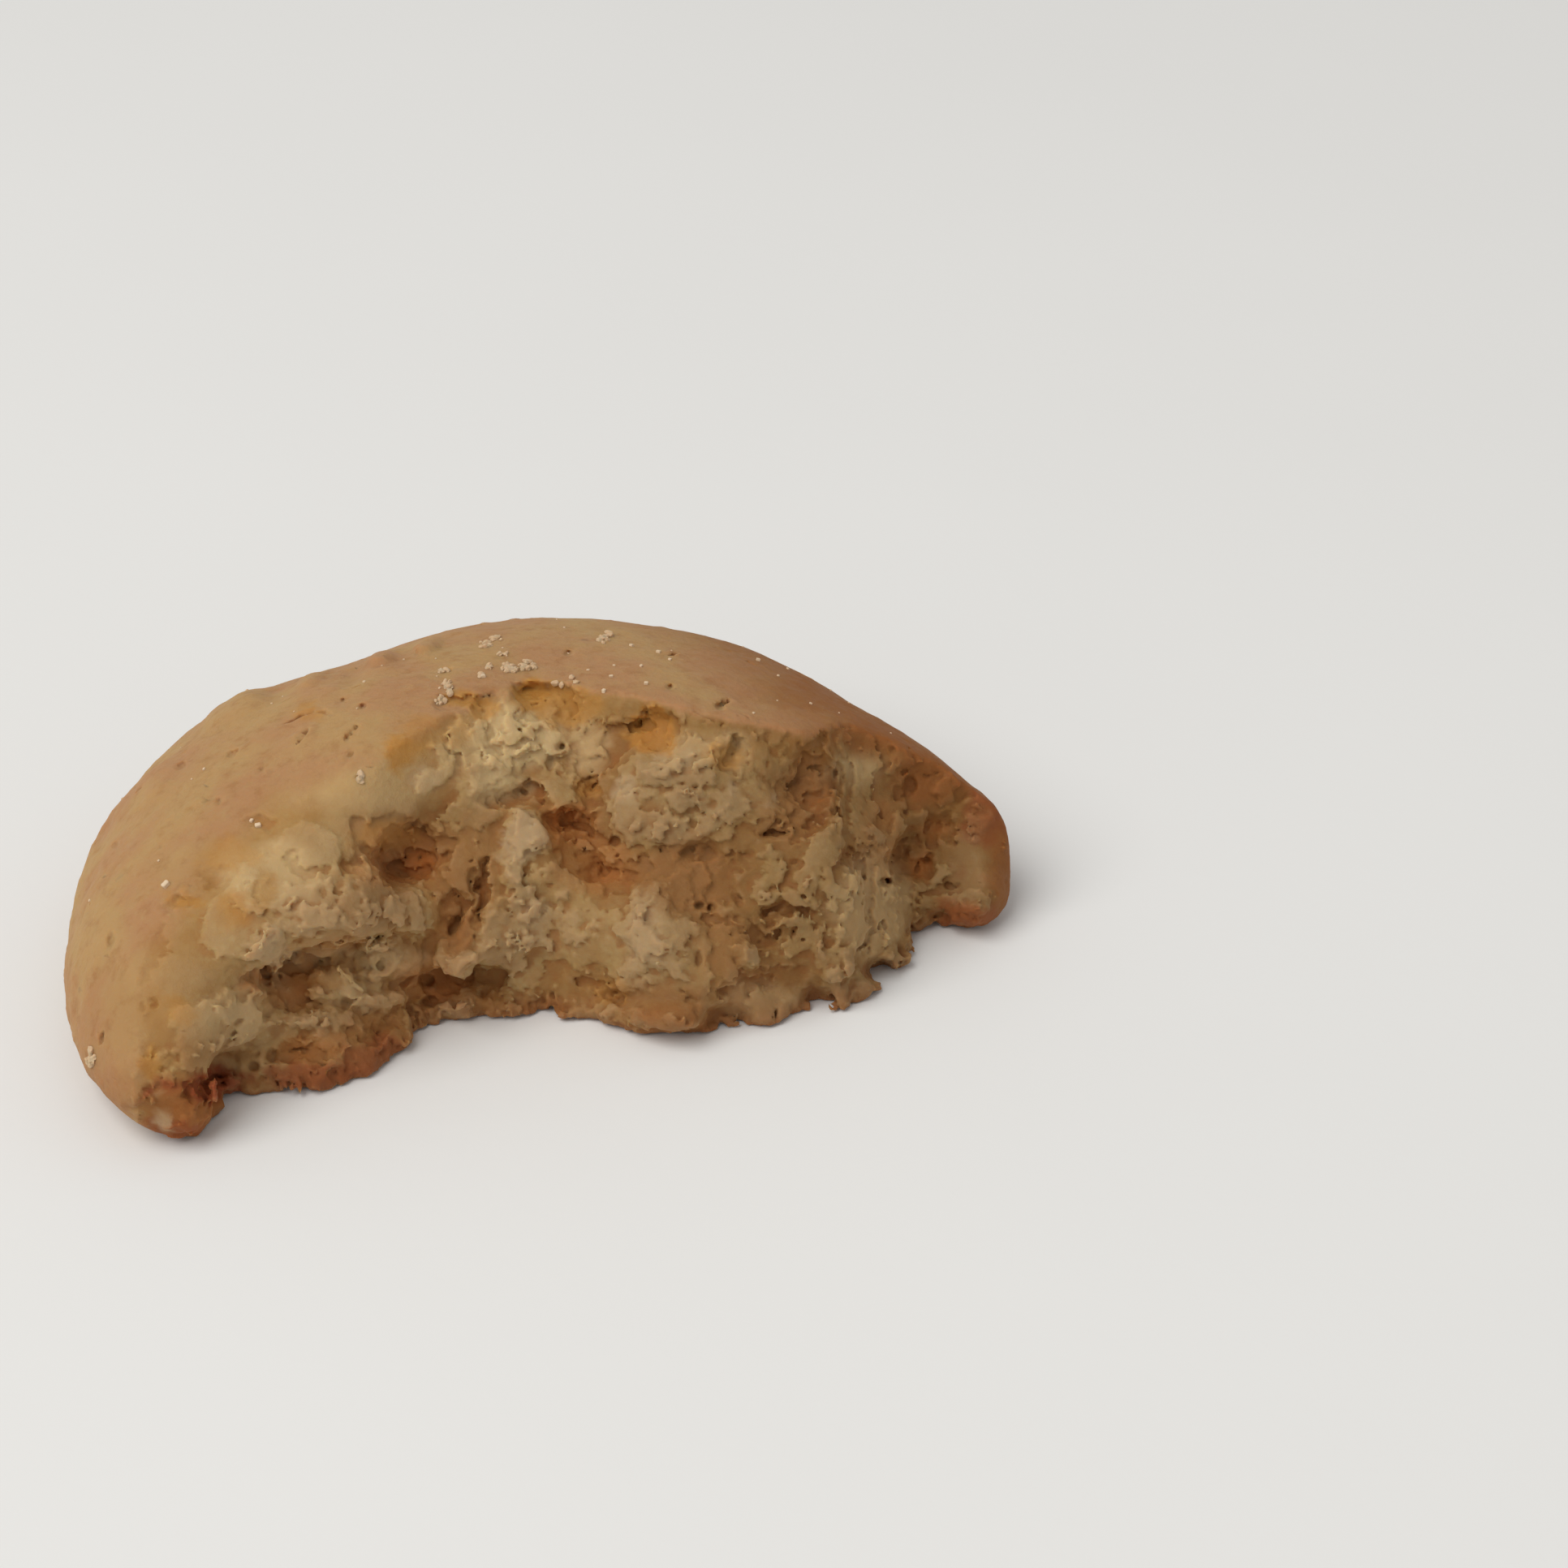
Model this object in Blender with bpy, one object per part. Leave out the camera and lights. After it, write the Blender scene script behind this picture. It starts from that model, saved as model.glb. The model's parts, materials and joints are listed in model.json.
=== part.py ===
"""Half of a soft almond biscuit, broken by hand and lying on its flat base.

The whole biscuit is a low round dome.  A direction from a point on its axis, at the height
of its waist, gives the distance out to the crust.  Two cutters finish the solid: the baking
tray takes off everything below the base, and the break takes off the front of the dome with
one uneven face that has the hollows, the loose lumps and the shelf of bottom crust.

Frame: metres, +Z up, +X along the break, +Y towards the round back.  The origin is at the
bottom centre of the half's own box, so the axis of the whole biscuit stands beside it.
"""

import bpy
import bmesh
from math import cos, exp, hypot, radians, sin
from mathutils import Vector, noise

MM = 0.001

# Whole biscuit
BISCUIT_RADIUS = 26.0 * MM
BISCUIT_HEIGHT = 16.0 * MM
WAIST_HEIGHT = 3.1 * MM
BASE_RADIUS_SHARE = 0.94
DOME_POWER = 1.95
DOME_SUBDIVISIONS = 5
AXIS_Y = -7.5 * MM

# Swells and dips of the crust: azimuth and elevation of the place as seen from the axis at
# the waist, and its spread, in degrees, then how far the crust stands out there
CRUST_SWELLS = (
    (157.0, 3.0, 13.0, -0.40 * MM),
    (117.0, 15.0, 10.0, 0.40 * MM),
    (97.0, 20.0, 13.0, -0.85 * MM),
    (62.0, 24.0, 13.0, 0.15 * MM),
    (10.0, 14.0, 14.0, -0.75 * MM),
    (-16.0, 6.0, 10.0, 0.45 * MM),
    (140.0, 48.0, 16.0, 0.30 * MM),
    (60.0, 62.0, 18.0, -0.25 * MM),
    (178.0, 30.0, 14.0, -0.20 * MM),
    (35.0, 4.0, 12.0, 0.35 * MM),
    (75.0, 0.0, 9.0, -0.35 * MM),
)
CRUST_RIPPLE = 0.12 * MM
CRUST_RIPPLE_LENGTH = 5.0 * MM

# The break: where it meets the base and where it meets the crust, as places along X and
# across Y from the biscuit's axis
BREAK_FOOT = (
    (-27.0, -3.0),
    (-24.2, -4.3),
    (-22.4, -5.2),
    (-20.8, -3.6),
    (-19.2, -1.9),
    (-14.0, -2.5),
    (-9.5, -1.5),
    (-3.0, -2.2),
    (0.0, -4.4),
    (3.5, -8.9),
    (8.0, -10.2),
    (14.0, -10.7),
    (17.5, -9.0),
    (20.6, -6.2),
    (23.0, -7.8),
    (27.0, -6.3),
)
BREAK_RIM = (
    (-27.0, -5.0),
    (-22.4, -3.4),
    (-19.0, -0.4),
    (-13.0, 0.4),
    (-8.0, 1.8),
    (-3.7, 3.8),
    (0.0, 6.3),
    (2.6, 6.8),
    (4.6, 2.6),
    (7.2, -0.8),
    (12.0, -4.2),
    (14.5, -4.7),
    (18.0, -3.4),
    (21.0, -5.2),
    (27.0, -7.0),
)
# How long the face keeps upright before it leans back to the rim, at each end
LEAN_POWER_LEFT = 4.0
LEAN_POWER_RIGHT = 1.4
LEAN_CHANGE_LENGTH = 16.0 * MM

# Shelf of bottom crust that stands out under the crumb at the left of the break
SHELF_FROM_X = -19.0 * MM
SHELF_TO_X = -8.5 * MM
SHELF_THICKNESS = 2.3 * MM
SHELF_REACH = 1.6 * MM
SHELF_END_LENGTH = 1.2 * MM
SHELF_LIP_LENGTH = 0.45 * MM

# Hollows (minus) and lumps (plus) of the break: place along X and up Z, half length and
# half height, and how far the crumb stands out towards the front
BREAK_LUMPS = (
    (-23.0, 1.6, 1.8, 1.6, 0.6),
    (-20.3, 2.0, 0.9, 1.3, -1.8),
    (-19.2, 6.4, 2.1, 2.8, 1.3),
    (-15.4, 6.2, 2.2, 1.1, -2.4),
    (-10.8, 4.8, 2.6, 1.2, -2.0),
    (-13.4, 9.8, 3.0, 1.5, 1.0),
    (-9.1, 7.0, 1.5, 1.1, 0.8),
    (-7.8, 9.2, 1.8, 1.1, -2.6),
    (-5.3, 10.6, 2.0, 1.4, -1.6),
    (-5.2, 2.4, 1.8, 1.0, -1.3),
    (-6.4, 4.5, 1.6, 1.1, 1.4),
    (-3.0, 6.4, 1.7, 1.8, 1.0),
    (-0.8, 8.8, 1.0, 1.1, 0.9),
    (2.0, 8.8, 1.7, 1.3, -2.8),
    (3.5, 14.0, 1.4, 0.9, -1.2),
    (6.6, 14.0, 1.2, 0.8, -1.3),
    (7.7, 12.2, 2.2, 1.2, 0.9),
    (6.0, 9.3, 1.2, 0.9, -1.3),
    (3.4, 6.0, 1.4, 1.3, 1.1),
    (6.4, 5.2, 2.4, 2.0, 1.1),
    (13.2, 11.0, 1.6, 1.2, -2.0),
    (16.1, 9.0, 1.2, 0.8, -1.2),
    (13.4, 6.4, 1.8, 1.6, 0.9),
    (11.3, 2.8, 2.4, 1.6, 0.7),
    (19.7, 4.9, 1.7, 1.1, -1.8),
    (22.0, 2.2, 1.2, 1.2, 0.5),
)
CRUMB_RELIEF = 1.1 * MM
CRUMB_RELIEF_LENGTH = 5.2 * MM
CRUMB_RELIEF_ROUGHNESS = 0.75
CRUMB_RELIEF_OCTAVES = 4
BREAK_GRID = 0.72 * MM
CUTTER_MARGIN = 1.6 * MM
CUTTER_FRONT_Y = -36.0 * MM

# Colours, linear
CRUST_COLOUR = (0.47, 0.27, 0.12, 1.0)
CRUMB_COLOUR = (0.61, 0.44, 0.21, 1.0)
BASE_COLOUR = (0.30, 0.14, 0.05, 1.0)
ROUGHNESS = 0.85


def clear_scene():
    for old in list(bpy.data.objects):
        bpy.data.objects.remove(old)


def material(name, colour):
    made = bpy.data.materials.new(name)
    made.use_nodes = True
    shader = made.node_tree.nodes["Principled BSDF"]
    shader.inputs["Base Color"].default_value = colour
    shader.inputs["Roughness"].default_value = ROUGHNESS
    shader.inputs["Metallic"].default_value = 0.0
    made.diffuse_color = colour
    return made


def mesh_object(name, bm, surface):
    mesh = bpy.data.meshes.new(name)
    bmesh.ops.recalc_face_normals(bm, faces=bm.faces)
    bm.to_mesh(mesh)
    bm.free()
    mesh.materials.append(surface)
    made = bpy.data.objects.new(name, mesh)
    bpy.context.collection.objects.link(made)
    return made


def direction(azimuth, elevation):
    a = radians(azimuth)
    e = radians(elevation)
    return Vector((cos(e) * cos(a), cos(e) * sin(a), sin(e)))


def soft_step(value):
    t = min(max(value, 0.0), 1.0)
    return t * t * (3.0 - 2.0 * t)


def smooth_through(points, x):
    """Height at x of a smooth curve through points that are sorted along x."""
    last = len(points) - 1
    i = 0
    while i < last - 1 and x > points[i + 1][0]:
        i += 1
    (x0, y0), (x1, y1) = points[i], points[i + 1]
    before = points[max(i - 1, 0)]
    after = points[min(i + 2, last)]
    span = x1 - x0
    slope0 = (y1 - before[1]) / (x1 - before[0])
    slope1 = (after[1] - y0) / (after[0] - x0)
    t = min(max((x - x0) / span, 0.0), 1.0)
    rise = soft_step(t)
    bend = t * (1.0 - t) * (slope0 * (1.0 - t) - slope1 * t) * span
    return y0 + (y1 - y0) * rise + bend


def crust_reach(ray):
    """Distance from the axis at the waist out to the crust along a unit direction."""
    depth_below = WAIST_HEIGHT / (1.0 - BASE_RADIUS_SHARE ** DOME_POWER) ** (1.0 / DOME_POWER)
    height = BISCUIT_HEIGHT - WAIST_HEIGHT if ray.z > 0.0 else depth_below
    across = hypot(ray.x, ray.y) / BISCUIT_RADIUS
    upright = abs(ray.z) / height
    reach = (across ** DOME_POWER + upright ** DOME_POWER) ** (-1.0 / DOME_POWER)
    for azimuth, elevation, spread, out in CRUST_SWELLS:
        gap = ray.angle(direction(azimuth, elevation)) / radians(spread)
        reach += out * exp(-gap * gap)
    reach += CRUST_RIPPLE * noise.noise(ray * reach / CRUST_RIPPLE_LENGTH)
    return reach


def dome():
    bm = bmesh.new()
    bmesh.ops.create_icosphere(bm, subdivisions=DOME_SUBDIVISIONS, radius=1.0)
    centre = Vector((0.0, AXIS_Y, WAIST_HEIGHT))
    for vert in bm.verts:
        ray = vert.co.normalized()
        vert.co = centre + ray * crust_reach(ray)
    return mesh_object("biscuit_half", bm, material("browned_crust", CRUST_COLOUR))


def shelf(x, z):
    """How far the bottom crust stands out in front of the crumb above it."""
    begins = soft_step((x - SHELF_FROM_X) / SHELF_END_LENGTH)
    ends = soft_step((SHELF_TO_X - x) / SHELF_END_LENGTH)
    below = soft_step((SHELF_THICKNESS - z) / SHELF_LIP_LENGTH)
    return SHELF_REACH * begins * ends * below


def break_y(x, z):
    """Place across Y, from the biscuit's axis, of the broken face at x and z."""
    foot = smooth_through(BREAK_FOOT, x / MM) * MM
    rim = smooth_through(BREAK_RIM, x / MM) * MM
    flatness = max(1.0 - (abs(x) / BISCUIT_RADIUS) ** DOME_POWER, 0.02)
    top = BISCUIT_HEIGHT * flatness ** (1.0 / DOME_POWER)
    change = soft_step(0.5 + x / LEAN_CHANGE_LENGTH)
    power = LEAN_POWER_LEFT + (LEAN_POWER_RIGHT - LEAN_POWER_LEFT) * change
    lean = min(max(z / top, 0.0), 1.1) ** power
    y = foot + (rim - foot) * lean - shelf(x, z)
    for lump_x, lump_z, half_length, half_height, out in BREAK_LUMPS:
        along = (x / MM - lump_x) / half_length
        up = (z / MM - lump_z) / half_height
        y -= out * MM * exp(-(along * along + up * up))
    place = Vector((x, 0.0, z)) / CRUMB_RELIEF_LENGTH
    relief = noise.fractal(place, CRUMB_RELIEF_ROUGHNESS, 2.0, CRUMB_RELIEF_OCTAVES)
    return y + CRUMB_RELIEF * relief


def break_cutter():
    half_length = BISCUIT_RADIUS + CUTTER_MARGIN
    low = -CUTTER_MARGIN
    high = BISCUIT_HEIGHT + CUTTER_MARGIN
    columns = round(2.0 * half_length / BREAK_GRID)
    rows = round((high - low) / BREAK_GRID)
    bm = bmesh.new()
    bmesh.ops.create_grid(bm, x_segments=columns, y_segments=rows, size=1.0)
    for vert in bm.verts:
        x = vert.co.x * half_length
        z = low + (vert.co.y + 1.0) / 2.0 * (high - low)
        vert.co = Vector((x, AXIS_Y + break_y(x, z), z))
    front = bmesh.ops.extrude_face_region(bm, geom=bm.faces[:])
    for item in front["geom"]:
        if isinstance(item, bmesh.types.BMVert):
            item.co.y = CUTTER_FRONT_Y
    return mesh_object("break_cutter", bm, material("torn_crumb", CRUMB_COLOUR))


def tray_cutter():
    size = 4.0 * BISCUIT_RADIUS
    bm = bmesh.new()
    bmesh.ops.create_cube(bm, size=size)
    bmesh.ops.translate(bm, verts=bm.verts, vec=(0.0, 0.0, -size / 2.0))
    return mesh_object("tray_cutter", bm, material("browned_base", BASE_COLOUR))


def cut(body, cutter):
    cutter.hide_render = True
    cutter.display_type = "WIRE"
    boolean = body.modifiers.new(cutter.name, "BOOLEAN")
    boolean.object = cutter
    boolean.operation = "DIFFERENCE"
    boolean.solver = "EXACT"
    boolean.material_mode = "TRANSFER"


def build():
    clear_scene()
    biscuit = dome()
    cut(biscuit, break_cutter())
    cut(biscuit, tray_cutter())
    biscuit.data.shade_smooth()


build()
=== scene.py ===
"""Looks of the broken half of a soft almond biscuit.

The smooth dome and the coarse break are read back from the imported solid.  Relief is added to
both as fields on a fine grid: pinholes and short cracks on the crust, flakes, pockets, clumps
and grains on the break.  The grid is turned into one closed mesh, which stands for the solid.
Lengths are millimetres up to the point where a mesh is made, and metres from there.
"""

import json
from math import cos, hypot, pi, radians, sin

import bmesh
import bpy
import numpy as np
import openvdb
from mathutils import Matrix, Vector
from mathutils.bvhtree import BVHTree


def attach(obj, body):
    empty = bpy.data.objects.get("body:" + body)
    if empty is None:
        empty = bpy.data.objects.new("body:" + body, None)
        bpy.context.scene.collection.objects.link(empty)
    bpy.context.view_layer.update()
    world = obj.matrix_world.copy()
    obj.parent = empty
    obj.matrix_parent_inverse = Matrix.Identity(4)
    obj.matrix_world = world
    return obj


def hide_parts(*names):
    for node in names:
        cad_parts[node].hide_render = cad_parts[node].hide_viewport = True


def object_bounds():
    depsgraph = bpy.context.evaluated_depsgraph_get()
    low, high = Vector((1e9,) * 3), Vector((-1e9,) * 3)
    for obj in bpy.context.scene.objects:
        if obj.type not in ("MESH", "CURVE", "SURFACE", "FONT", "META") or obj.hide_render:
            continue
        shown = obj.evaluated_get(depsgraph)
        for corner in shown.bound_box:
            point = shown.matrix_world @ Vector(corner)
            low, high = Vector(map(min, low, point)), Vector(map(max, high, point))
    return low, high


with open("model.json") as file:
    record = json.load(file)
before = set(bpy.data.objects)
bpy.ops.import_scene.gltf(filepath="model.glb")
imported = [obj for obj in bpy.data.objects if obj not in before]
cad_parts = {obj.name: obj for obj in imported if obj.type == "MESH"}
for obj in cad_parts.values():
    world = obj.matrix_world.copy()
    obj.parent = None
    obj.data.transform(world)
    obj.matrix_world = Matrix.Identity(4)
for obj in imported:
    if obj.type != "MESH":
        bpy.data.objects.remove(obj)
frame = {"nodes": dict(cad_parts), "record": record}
CAD_LOW, CAD_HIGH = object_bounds()

MM = 0.001
NODE = "biscuit_half"
REAL = np.float32

# The whole biscuit: its axis stands on the point that the mount "base" names
BASE_MOUNT = next(m for m in frame["record"]["mounts"] if m["name"] == "base")
AXIS = np.array(BASE_MOUNT["pos_m"]) / MM
RADIUS = (CAD_HIGH.x - CAD_LOW.x) / 2.0 / MM
HEIGHT = (CAD_HIGH.z - CAD_LOW.z) / MM
# It is widest at the waist, and from there it rounds in to the top and under to the base
WAIST = 0.194 * HEIGHT
DOME_POWER = 1.95
UNDERCUT_DEPTH = 2.05 * WAIST

# Camera, as fitted to the outline of the crust: the aim is a place beside the axis
PHOTO_SIZE = 1932
SENSOR = 36.0
CAMERA_AZIMUTH = -25.0
CAMERA_ELEVATION = 34.0
CAMERA_DISTANCE = 8.0 * RADIUS
CAMERA_AIM = AXIS + np.array((14.61, -0.71, 8.21))
CAMERA_LENS = 86.8
CLIP_START = 0.01
# Rays towards the biscuit start this far from its middle, in millimetres
FAR_OUT = 60.0

# Light: an even sky and one large soft lamp, and the floor's half width, in metres
WORLD_COLOUR = (1.0, 0.99, 0.97)
WORLD_STRENGTH = 0.475
KEY_WATTS = 5.75
KEY_DIRECTION = (-0.58, -0.10, 0.82)
KEY_DISTANCE = 0.90
KEY_SIZE = 0.80
KEY_COLOUR = (1.0, 0.98, 0.95)
FLOOR_HALF = 1.2

# The grid: its step in millimetres, its margin in steps and the most rounds of a flood fill;
# then how far the mesh is thinned where it is flat
GRID_STEP = 0.125
GRID_MARGIN = 6
FLOOD_ROUNDS = 60
ADAPTIVITY = 0.05
FACES_MOST = 165000

# Places on the break, read from the photograph: column and row of the middle and half width
# and half height in pixels, then how many levels the crumb there stands out (or lies back).
# All tables of patches start with those four numbers
LEVELS = {
    "shoulder flake": (375, 1040, 52, 22, 0.5),
    "left flake, upper edge": (322, 1092, 46, 30, 0.5),
    "left flake, middle": (410, 1112, 62, 40, 1.0),
    "left flake, left end": (300, 1132, 50, 46, 0.5),
    "left flake, white tip": (334, 1164, 24, 26, 1.0),
    "second flake": (512, 1120, 33, 30, 1.0),
    "lower left plate": (276, 1272, 52, 34, 0.6),
    "lower left plate, upper": (306, 1238, 40, 24, 0.5),
    "lower left plate, right": (334, 1276, 26, 18, 0.4),
    "cavity flake, upper": (467, 1176, 22, 22, 1.0),
    "cavity flake, middle": (415, 1214, 32, 16, 1.5),
    "cavity flake, right": (462, 1232, 30, 14, 1.5),
    "shelf flake": (405, 1262, 52, 13, 1.0),
    "upper cloud, left": (632, 905, 60, 46, 1.0),
    "upper cloud, tongue": (692, 965, 32, 28, 1.0),
    "upper cloud, low left": (600, 955, 36, 28, 1.0),
    "pale bead": (525, 956, 20, 15, 0.5),
    "right cloud, top": (850, 928, 42, 26, 0.5),
    "right cloud, left": (806, 948, 30, 20, 0.5),
    "right cloud, low left": (776, 984, 26, 16, 0.5),
    "right cloud, inner": (836, 985, 22, 16, 0.5),
    "right cloud, middle": (895, 985, 58, 30, 0.5),
    "right cloud, low": (826, 1026, 40, 18, 0.5),
    "right cloud, low edge": (776, 1012, 20, 12, 0.5),
    "right cloud, corner": (952, 928, 36, 26, 0.5),
    "white lump": (646, 1034, 26, 30, 1.5),
    "white lump, tail": (632, 1078, 15, 16, 1.0),
    "bottom cloud, left": (648, 1150, 72, 58, 0.5),
    "bottom cloud, right": (798, 1166, 60, 52, 0.5),
    "bottom cloud, bright": (796, 1150, 24, 40, 0.5),
    "bottom cloud, peak": (788, 1106, 14, 22, 1.0),
    "bottom cloud, second peak": (825, 1098, 22, 18, 0.5),
    "bottom cloud, bead": (654, 1126, 18, 18, 0.5),
    "finger": (568, 1181, 30, 13, 1.5),
    "bottom block": (820, 1262, 42, 14, 1.0),
    "middle right bead": (948, 1096, 18, 13, 0.5),
    "right lump": (1010, 1062, 26, 26, 0.5),
    "right lump, upper": (1044, 1028, 30, 25, 0.5),
    "low right bead": (1013, 1186, 16, 16, 0.5),
    "low right second bead": (1054, 1182, 16, 14, 0.5),
    "low middle bead": (932, 1178, 15, 17, 0.5),
    "left recess": (508, 1062, 28, 19, -0.8),
    "left recess, left": (484, 1070, 30, 16, -0.4),
    "left recess, upper": (505, 1030, 34, 14, -0.4),
    "left recess, rim": (492, 1044, 66, 42, -0.4),
    "flat hollow": (633, 987, 34, 20, -1.0),
    "small hollow": (729, 968, 18, 15, -0.8),
    "middle recess": (700, 1012, 32, 18, -0.9),
    "middle recess, upper": (688, 1010, 14, 24, -0.6),
    "middle recess, floor": (716, 1050, 44, 30, -0.6),
    "middle recess, low right": (752, 1078, 36, 24, -0.5),
    "middle recess, flake": (748, 1048, 10, 8, 0.6),
    "top hollow": (684, 868, 40, 26, -0.8),
    "top right hollow": (805, 906, 30, 30, -0.8),
    "top edge hollow": (592, 873, 18, 16, -0.5),
    "right edge hollow": (894, 934, 17, 19, -1.0),
    "crack": (588, 1108, 9, 40, -1.5),
    "crack cavity": (552, 1128, 26, 34, -1.0),
    "under the finger": (578, 1216, 40, 18, -0.8),
    "left cavity, upper": (405, 1176, 58, 22, -0.5),
    "left cavity, lower": (368, 1214, 34, 28, -0.6),
    "left cavity, corner": (322, 1203, 13, 10, -1.0),
    "left cavity, right": (532, 1166, 30, 30, -0.6),
    "left cavity, low right": (525, 1214, 44, 24, -0.5),
    "shelf hollow": (378, 1300, 30, 20, -1.0),
    "tip recess": (264, 1332, 14, 14, -0.85),
    "tip recess, right": (284, 1336, 16, 12, 1.0),
    "block under the finger": (572, 1232, 24, 16, 1.5),
    "bottom, middle": (736, 1246, 46, 14, 0.5),
    "low right block": (1046, 1208, 32, 22, 1.0),
    "right block": (1102, 1172, 22, 18, 1.0),
    "right foot": (1180, 1112, 30, 18, 0.5),
    "bottom hollow": (750, 1222, 17, 12, -1.0),
    "middle right hollow": (853, 1052, 18, 15, -1.0),
    "middle right dip": (880, 1130, 40, 14, -0.5),
    "low right dip": (932, 1150, 46, 12, -0.5),
    "right hollow": (998, 960, 34, 27, -1.0),
    "right slit": (954, 1022, 18, 7, -1.0),
    "right brown hollow": (1096, 1060, 26, 22, -0.5),
    "right dark hollow": (1132, 1062, 16, 18, -0.9),
    "right dark hollow, upper": (1140, 1050, 12, 12, -0.4),
    "right upper hollow": (1155, 1022, 22, 12, -0.6),
    "right inner hollow": (1088, 1004, 18, 12, -0.6),
    "low pits": (968, 1122, 28, 9, -1.0),
}

# Parts of the break that are smoother than the rest, from 0 to 1
CALMS = {
    "left shoulder": (455, 958, 95, 52, 0.85),
    "left shoulder, low": (345, 1035, 80, 55, 0.75),
    "left end": (250, 1200, 60, 110, 0.70),
    "tip": (216, 1362, 50, 50, 0.45),
    "right end": (1215, 1070, 30, 80, 0.50),
    "right ridge": (1040, 962, 14, 44, 0.60),
}

# Pinpricks in the crumb, with their depths in millimetres
PINPRICKS = {
    "upper cloud, first": (691, 920, 5, 4, 0.6),
    "upper cloud, second": (678, 941, 4, 8, 0.6),
    "middle recess, right": (758, 1036, 6, 6, 0.8),
    "below the middle, first": (876, 1119, 5, 4, 0.7),
    "below the middle, second": (862, 1116, 5, 3, 0.6),
    "crack, top": (583, 1086, 6, 14, 0.9),
    "under the finger": (595, 1223, 6, 5, 0.7),
    "low left, first": (523, 1209, 8, 7, 0.7),
    "low left, second": (529, 1234, 9, 6, 0.7),
    "shelf, right": (449, 1244, 9, 6, 0.6),
    "shelf, left": (312, 1314, 6, 5, 0.6),
    "shelf, upper left": (334, 1301, 5, 8, 0.7),
    "right end, upper": (1121, 967, 8, 10, 0.6),
    "right end, lower": (1090, 1087, 8, 5, 0.6),
    "bottom cloud, right": (861, 1181, 4, 8, 0.6),
}

# Places where the crust has chipped off, with their depths in millimetres
CHIPS = {
    "rim, left end": (566, 864, 24, 12, 0.35),
    "rim, first": (592, 874, 18, 14, 0.45),
    "rim, second": (666, 860, 30, 16, 0.70),
    "rim, third": (706, 876, 34, 18, 0.60),
    "rim, tongue": (806, 902, 32, 26, 0.80),
    "rim, right": (893, 928, 18, 16, 0.55),
    "rim, corner": (1003, 945, 30, 26, 0.90),
    "left, upper": (319, 1013, 14, 8, 0.30),
    "left, middle": (219, 1113, 24, 7, 0.35),
    "left, low": (224, 1298, 6, 9, 0.45),
    "tip, upper": (188, 1343, 9, 7, 0.60),
}

# Pinholes in the crust, with their depths in millimetres
PINHOLES = {
    "top, first": (700, 804, 5, 4, 0.29),
    "top, second": (826, 847, 4, 4, 0.29),
    "top, third": (887, 871, 5, 4, 0.34),
    "left, first": (135, 1160, 5, 10, 0.21),
    "left, second": (140, 1042, 6, 4, 0.21),
    "left, third": (223, 944, 5, 4, 0.25),
    "left, fourth": (284, 930, 5, 4, 0.25),
    "left, fifth": (427, 910, 3, 4, 0.34),
    "left, sixth": (446, 871, 4, 3, 0.30),
    "left, seventh": (421, 863, 4, 3, 0.30),
    "left, eighth": (320, 948, 4, 4, 0.25),
    "left, ninth": (268, 988, 4, 4, 0.22),
}

# Clusters of loose crumbs that stick on the crust, and how many each holds
CLUSTERS = {
    "top, first": (627, 824, 10, 6, 18),
    "top, second": (651, 821, 9, 7, 18),
    "top, third": (597, 795, 7, 6, 10),
    "top, fourth": (612, 787, 6, 4, 6),
    "top, fifth": (548, 827, 6, 3, 4),
    "top, sixth": (620, 806, 5, 4, 4),
    "rim, pale edge": (551, 848, 5, 9, 12),
    "rim, pale edge, low": (543, 864, 7, 5, 8),
    "top right": (744, 788, 7, 5, 8),
    "top right, low": (752, 782, 4, 3, 2),
    "rim, bead": (594, 834, 3, 3, 2),
    "rim, second bead": (602, 822, 6, 4, 4),
    "rim, middle": (690, 838, 30, 6, 4),
    "left shoulder": (445, 958, 5, 7, 8),
    "foot crumb": (113, 1304, 5, 12, 16),
}

# Single sugar grains on the crust: column, row and size in millimetres
SUGARS = {
    "top, first": (595, 834, 0.24),
    "top, second": (753, 834, 0.20),
    "top, third": (796, 843, 0.22),
    "top, fourth": (790, 821, 0.18),
    "top, fifth": (811, 804, 0.20),
    "top, sixth": (825, 813, 0.18),
    "top, seventh": (744, 852, 0.24),
    "top, eighth": (778, 796, 0.20),
    "top, ninth": (934, 814, 0.22),
    "left, first": (205, 1091, 0.36),
    "left, second": (318, 1018, 0.26),
    "left, third": (310, 1012, 0.20),
}

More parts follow.
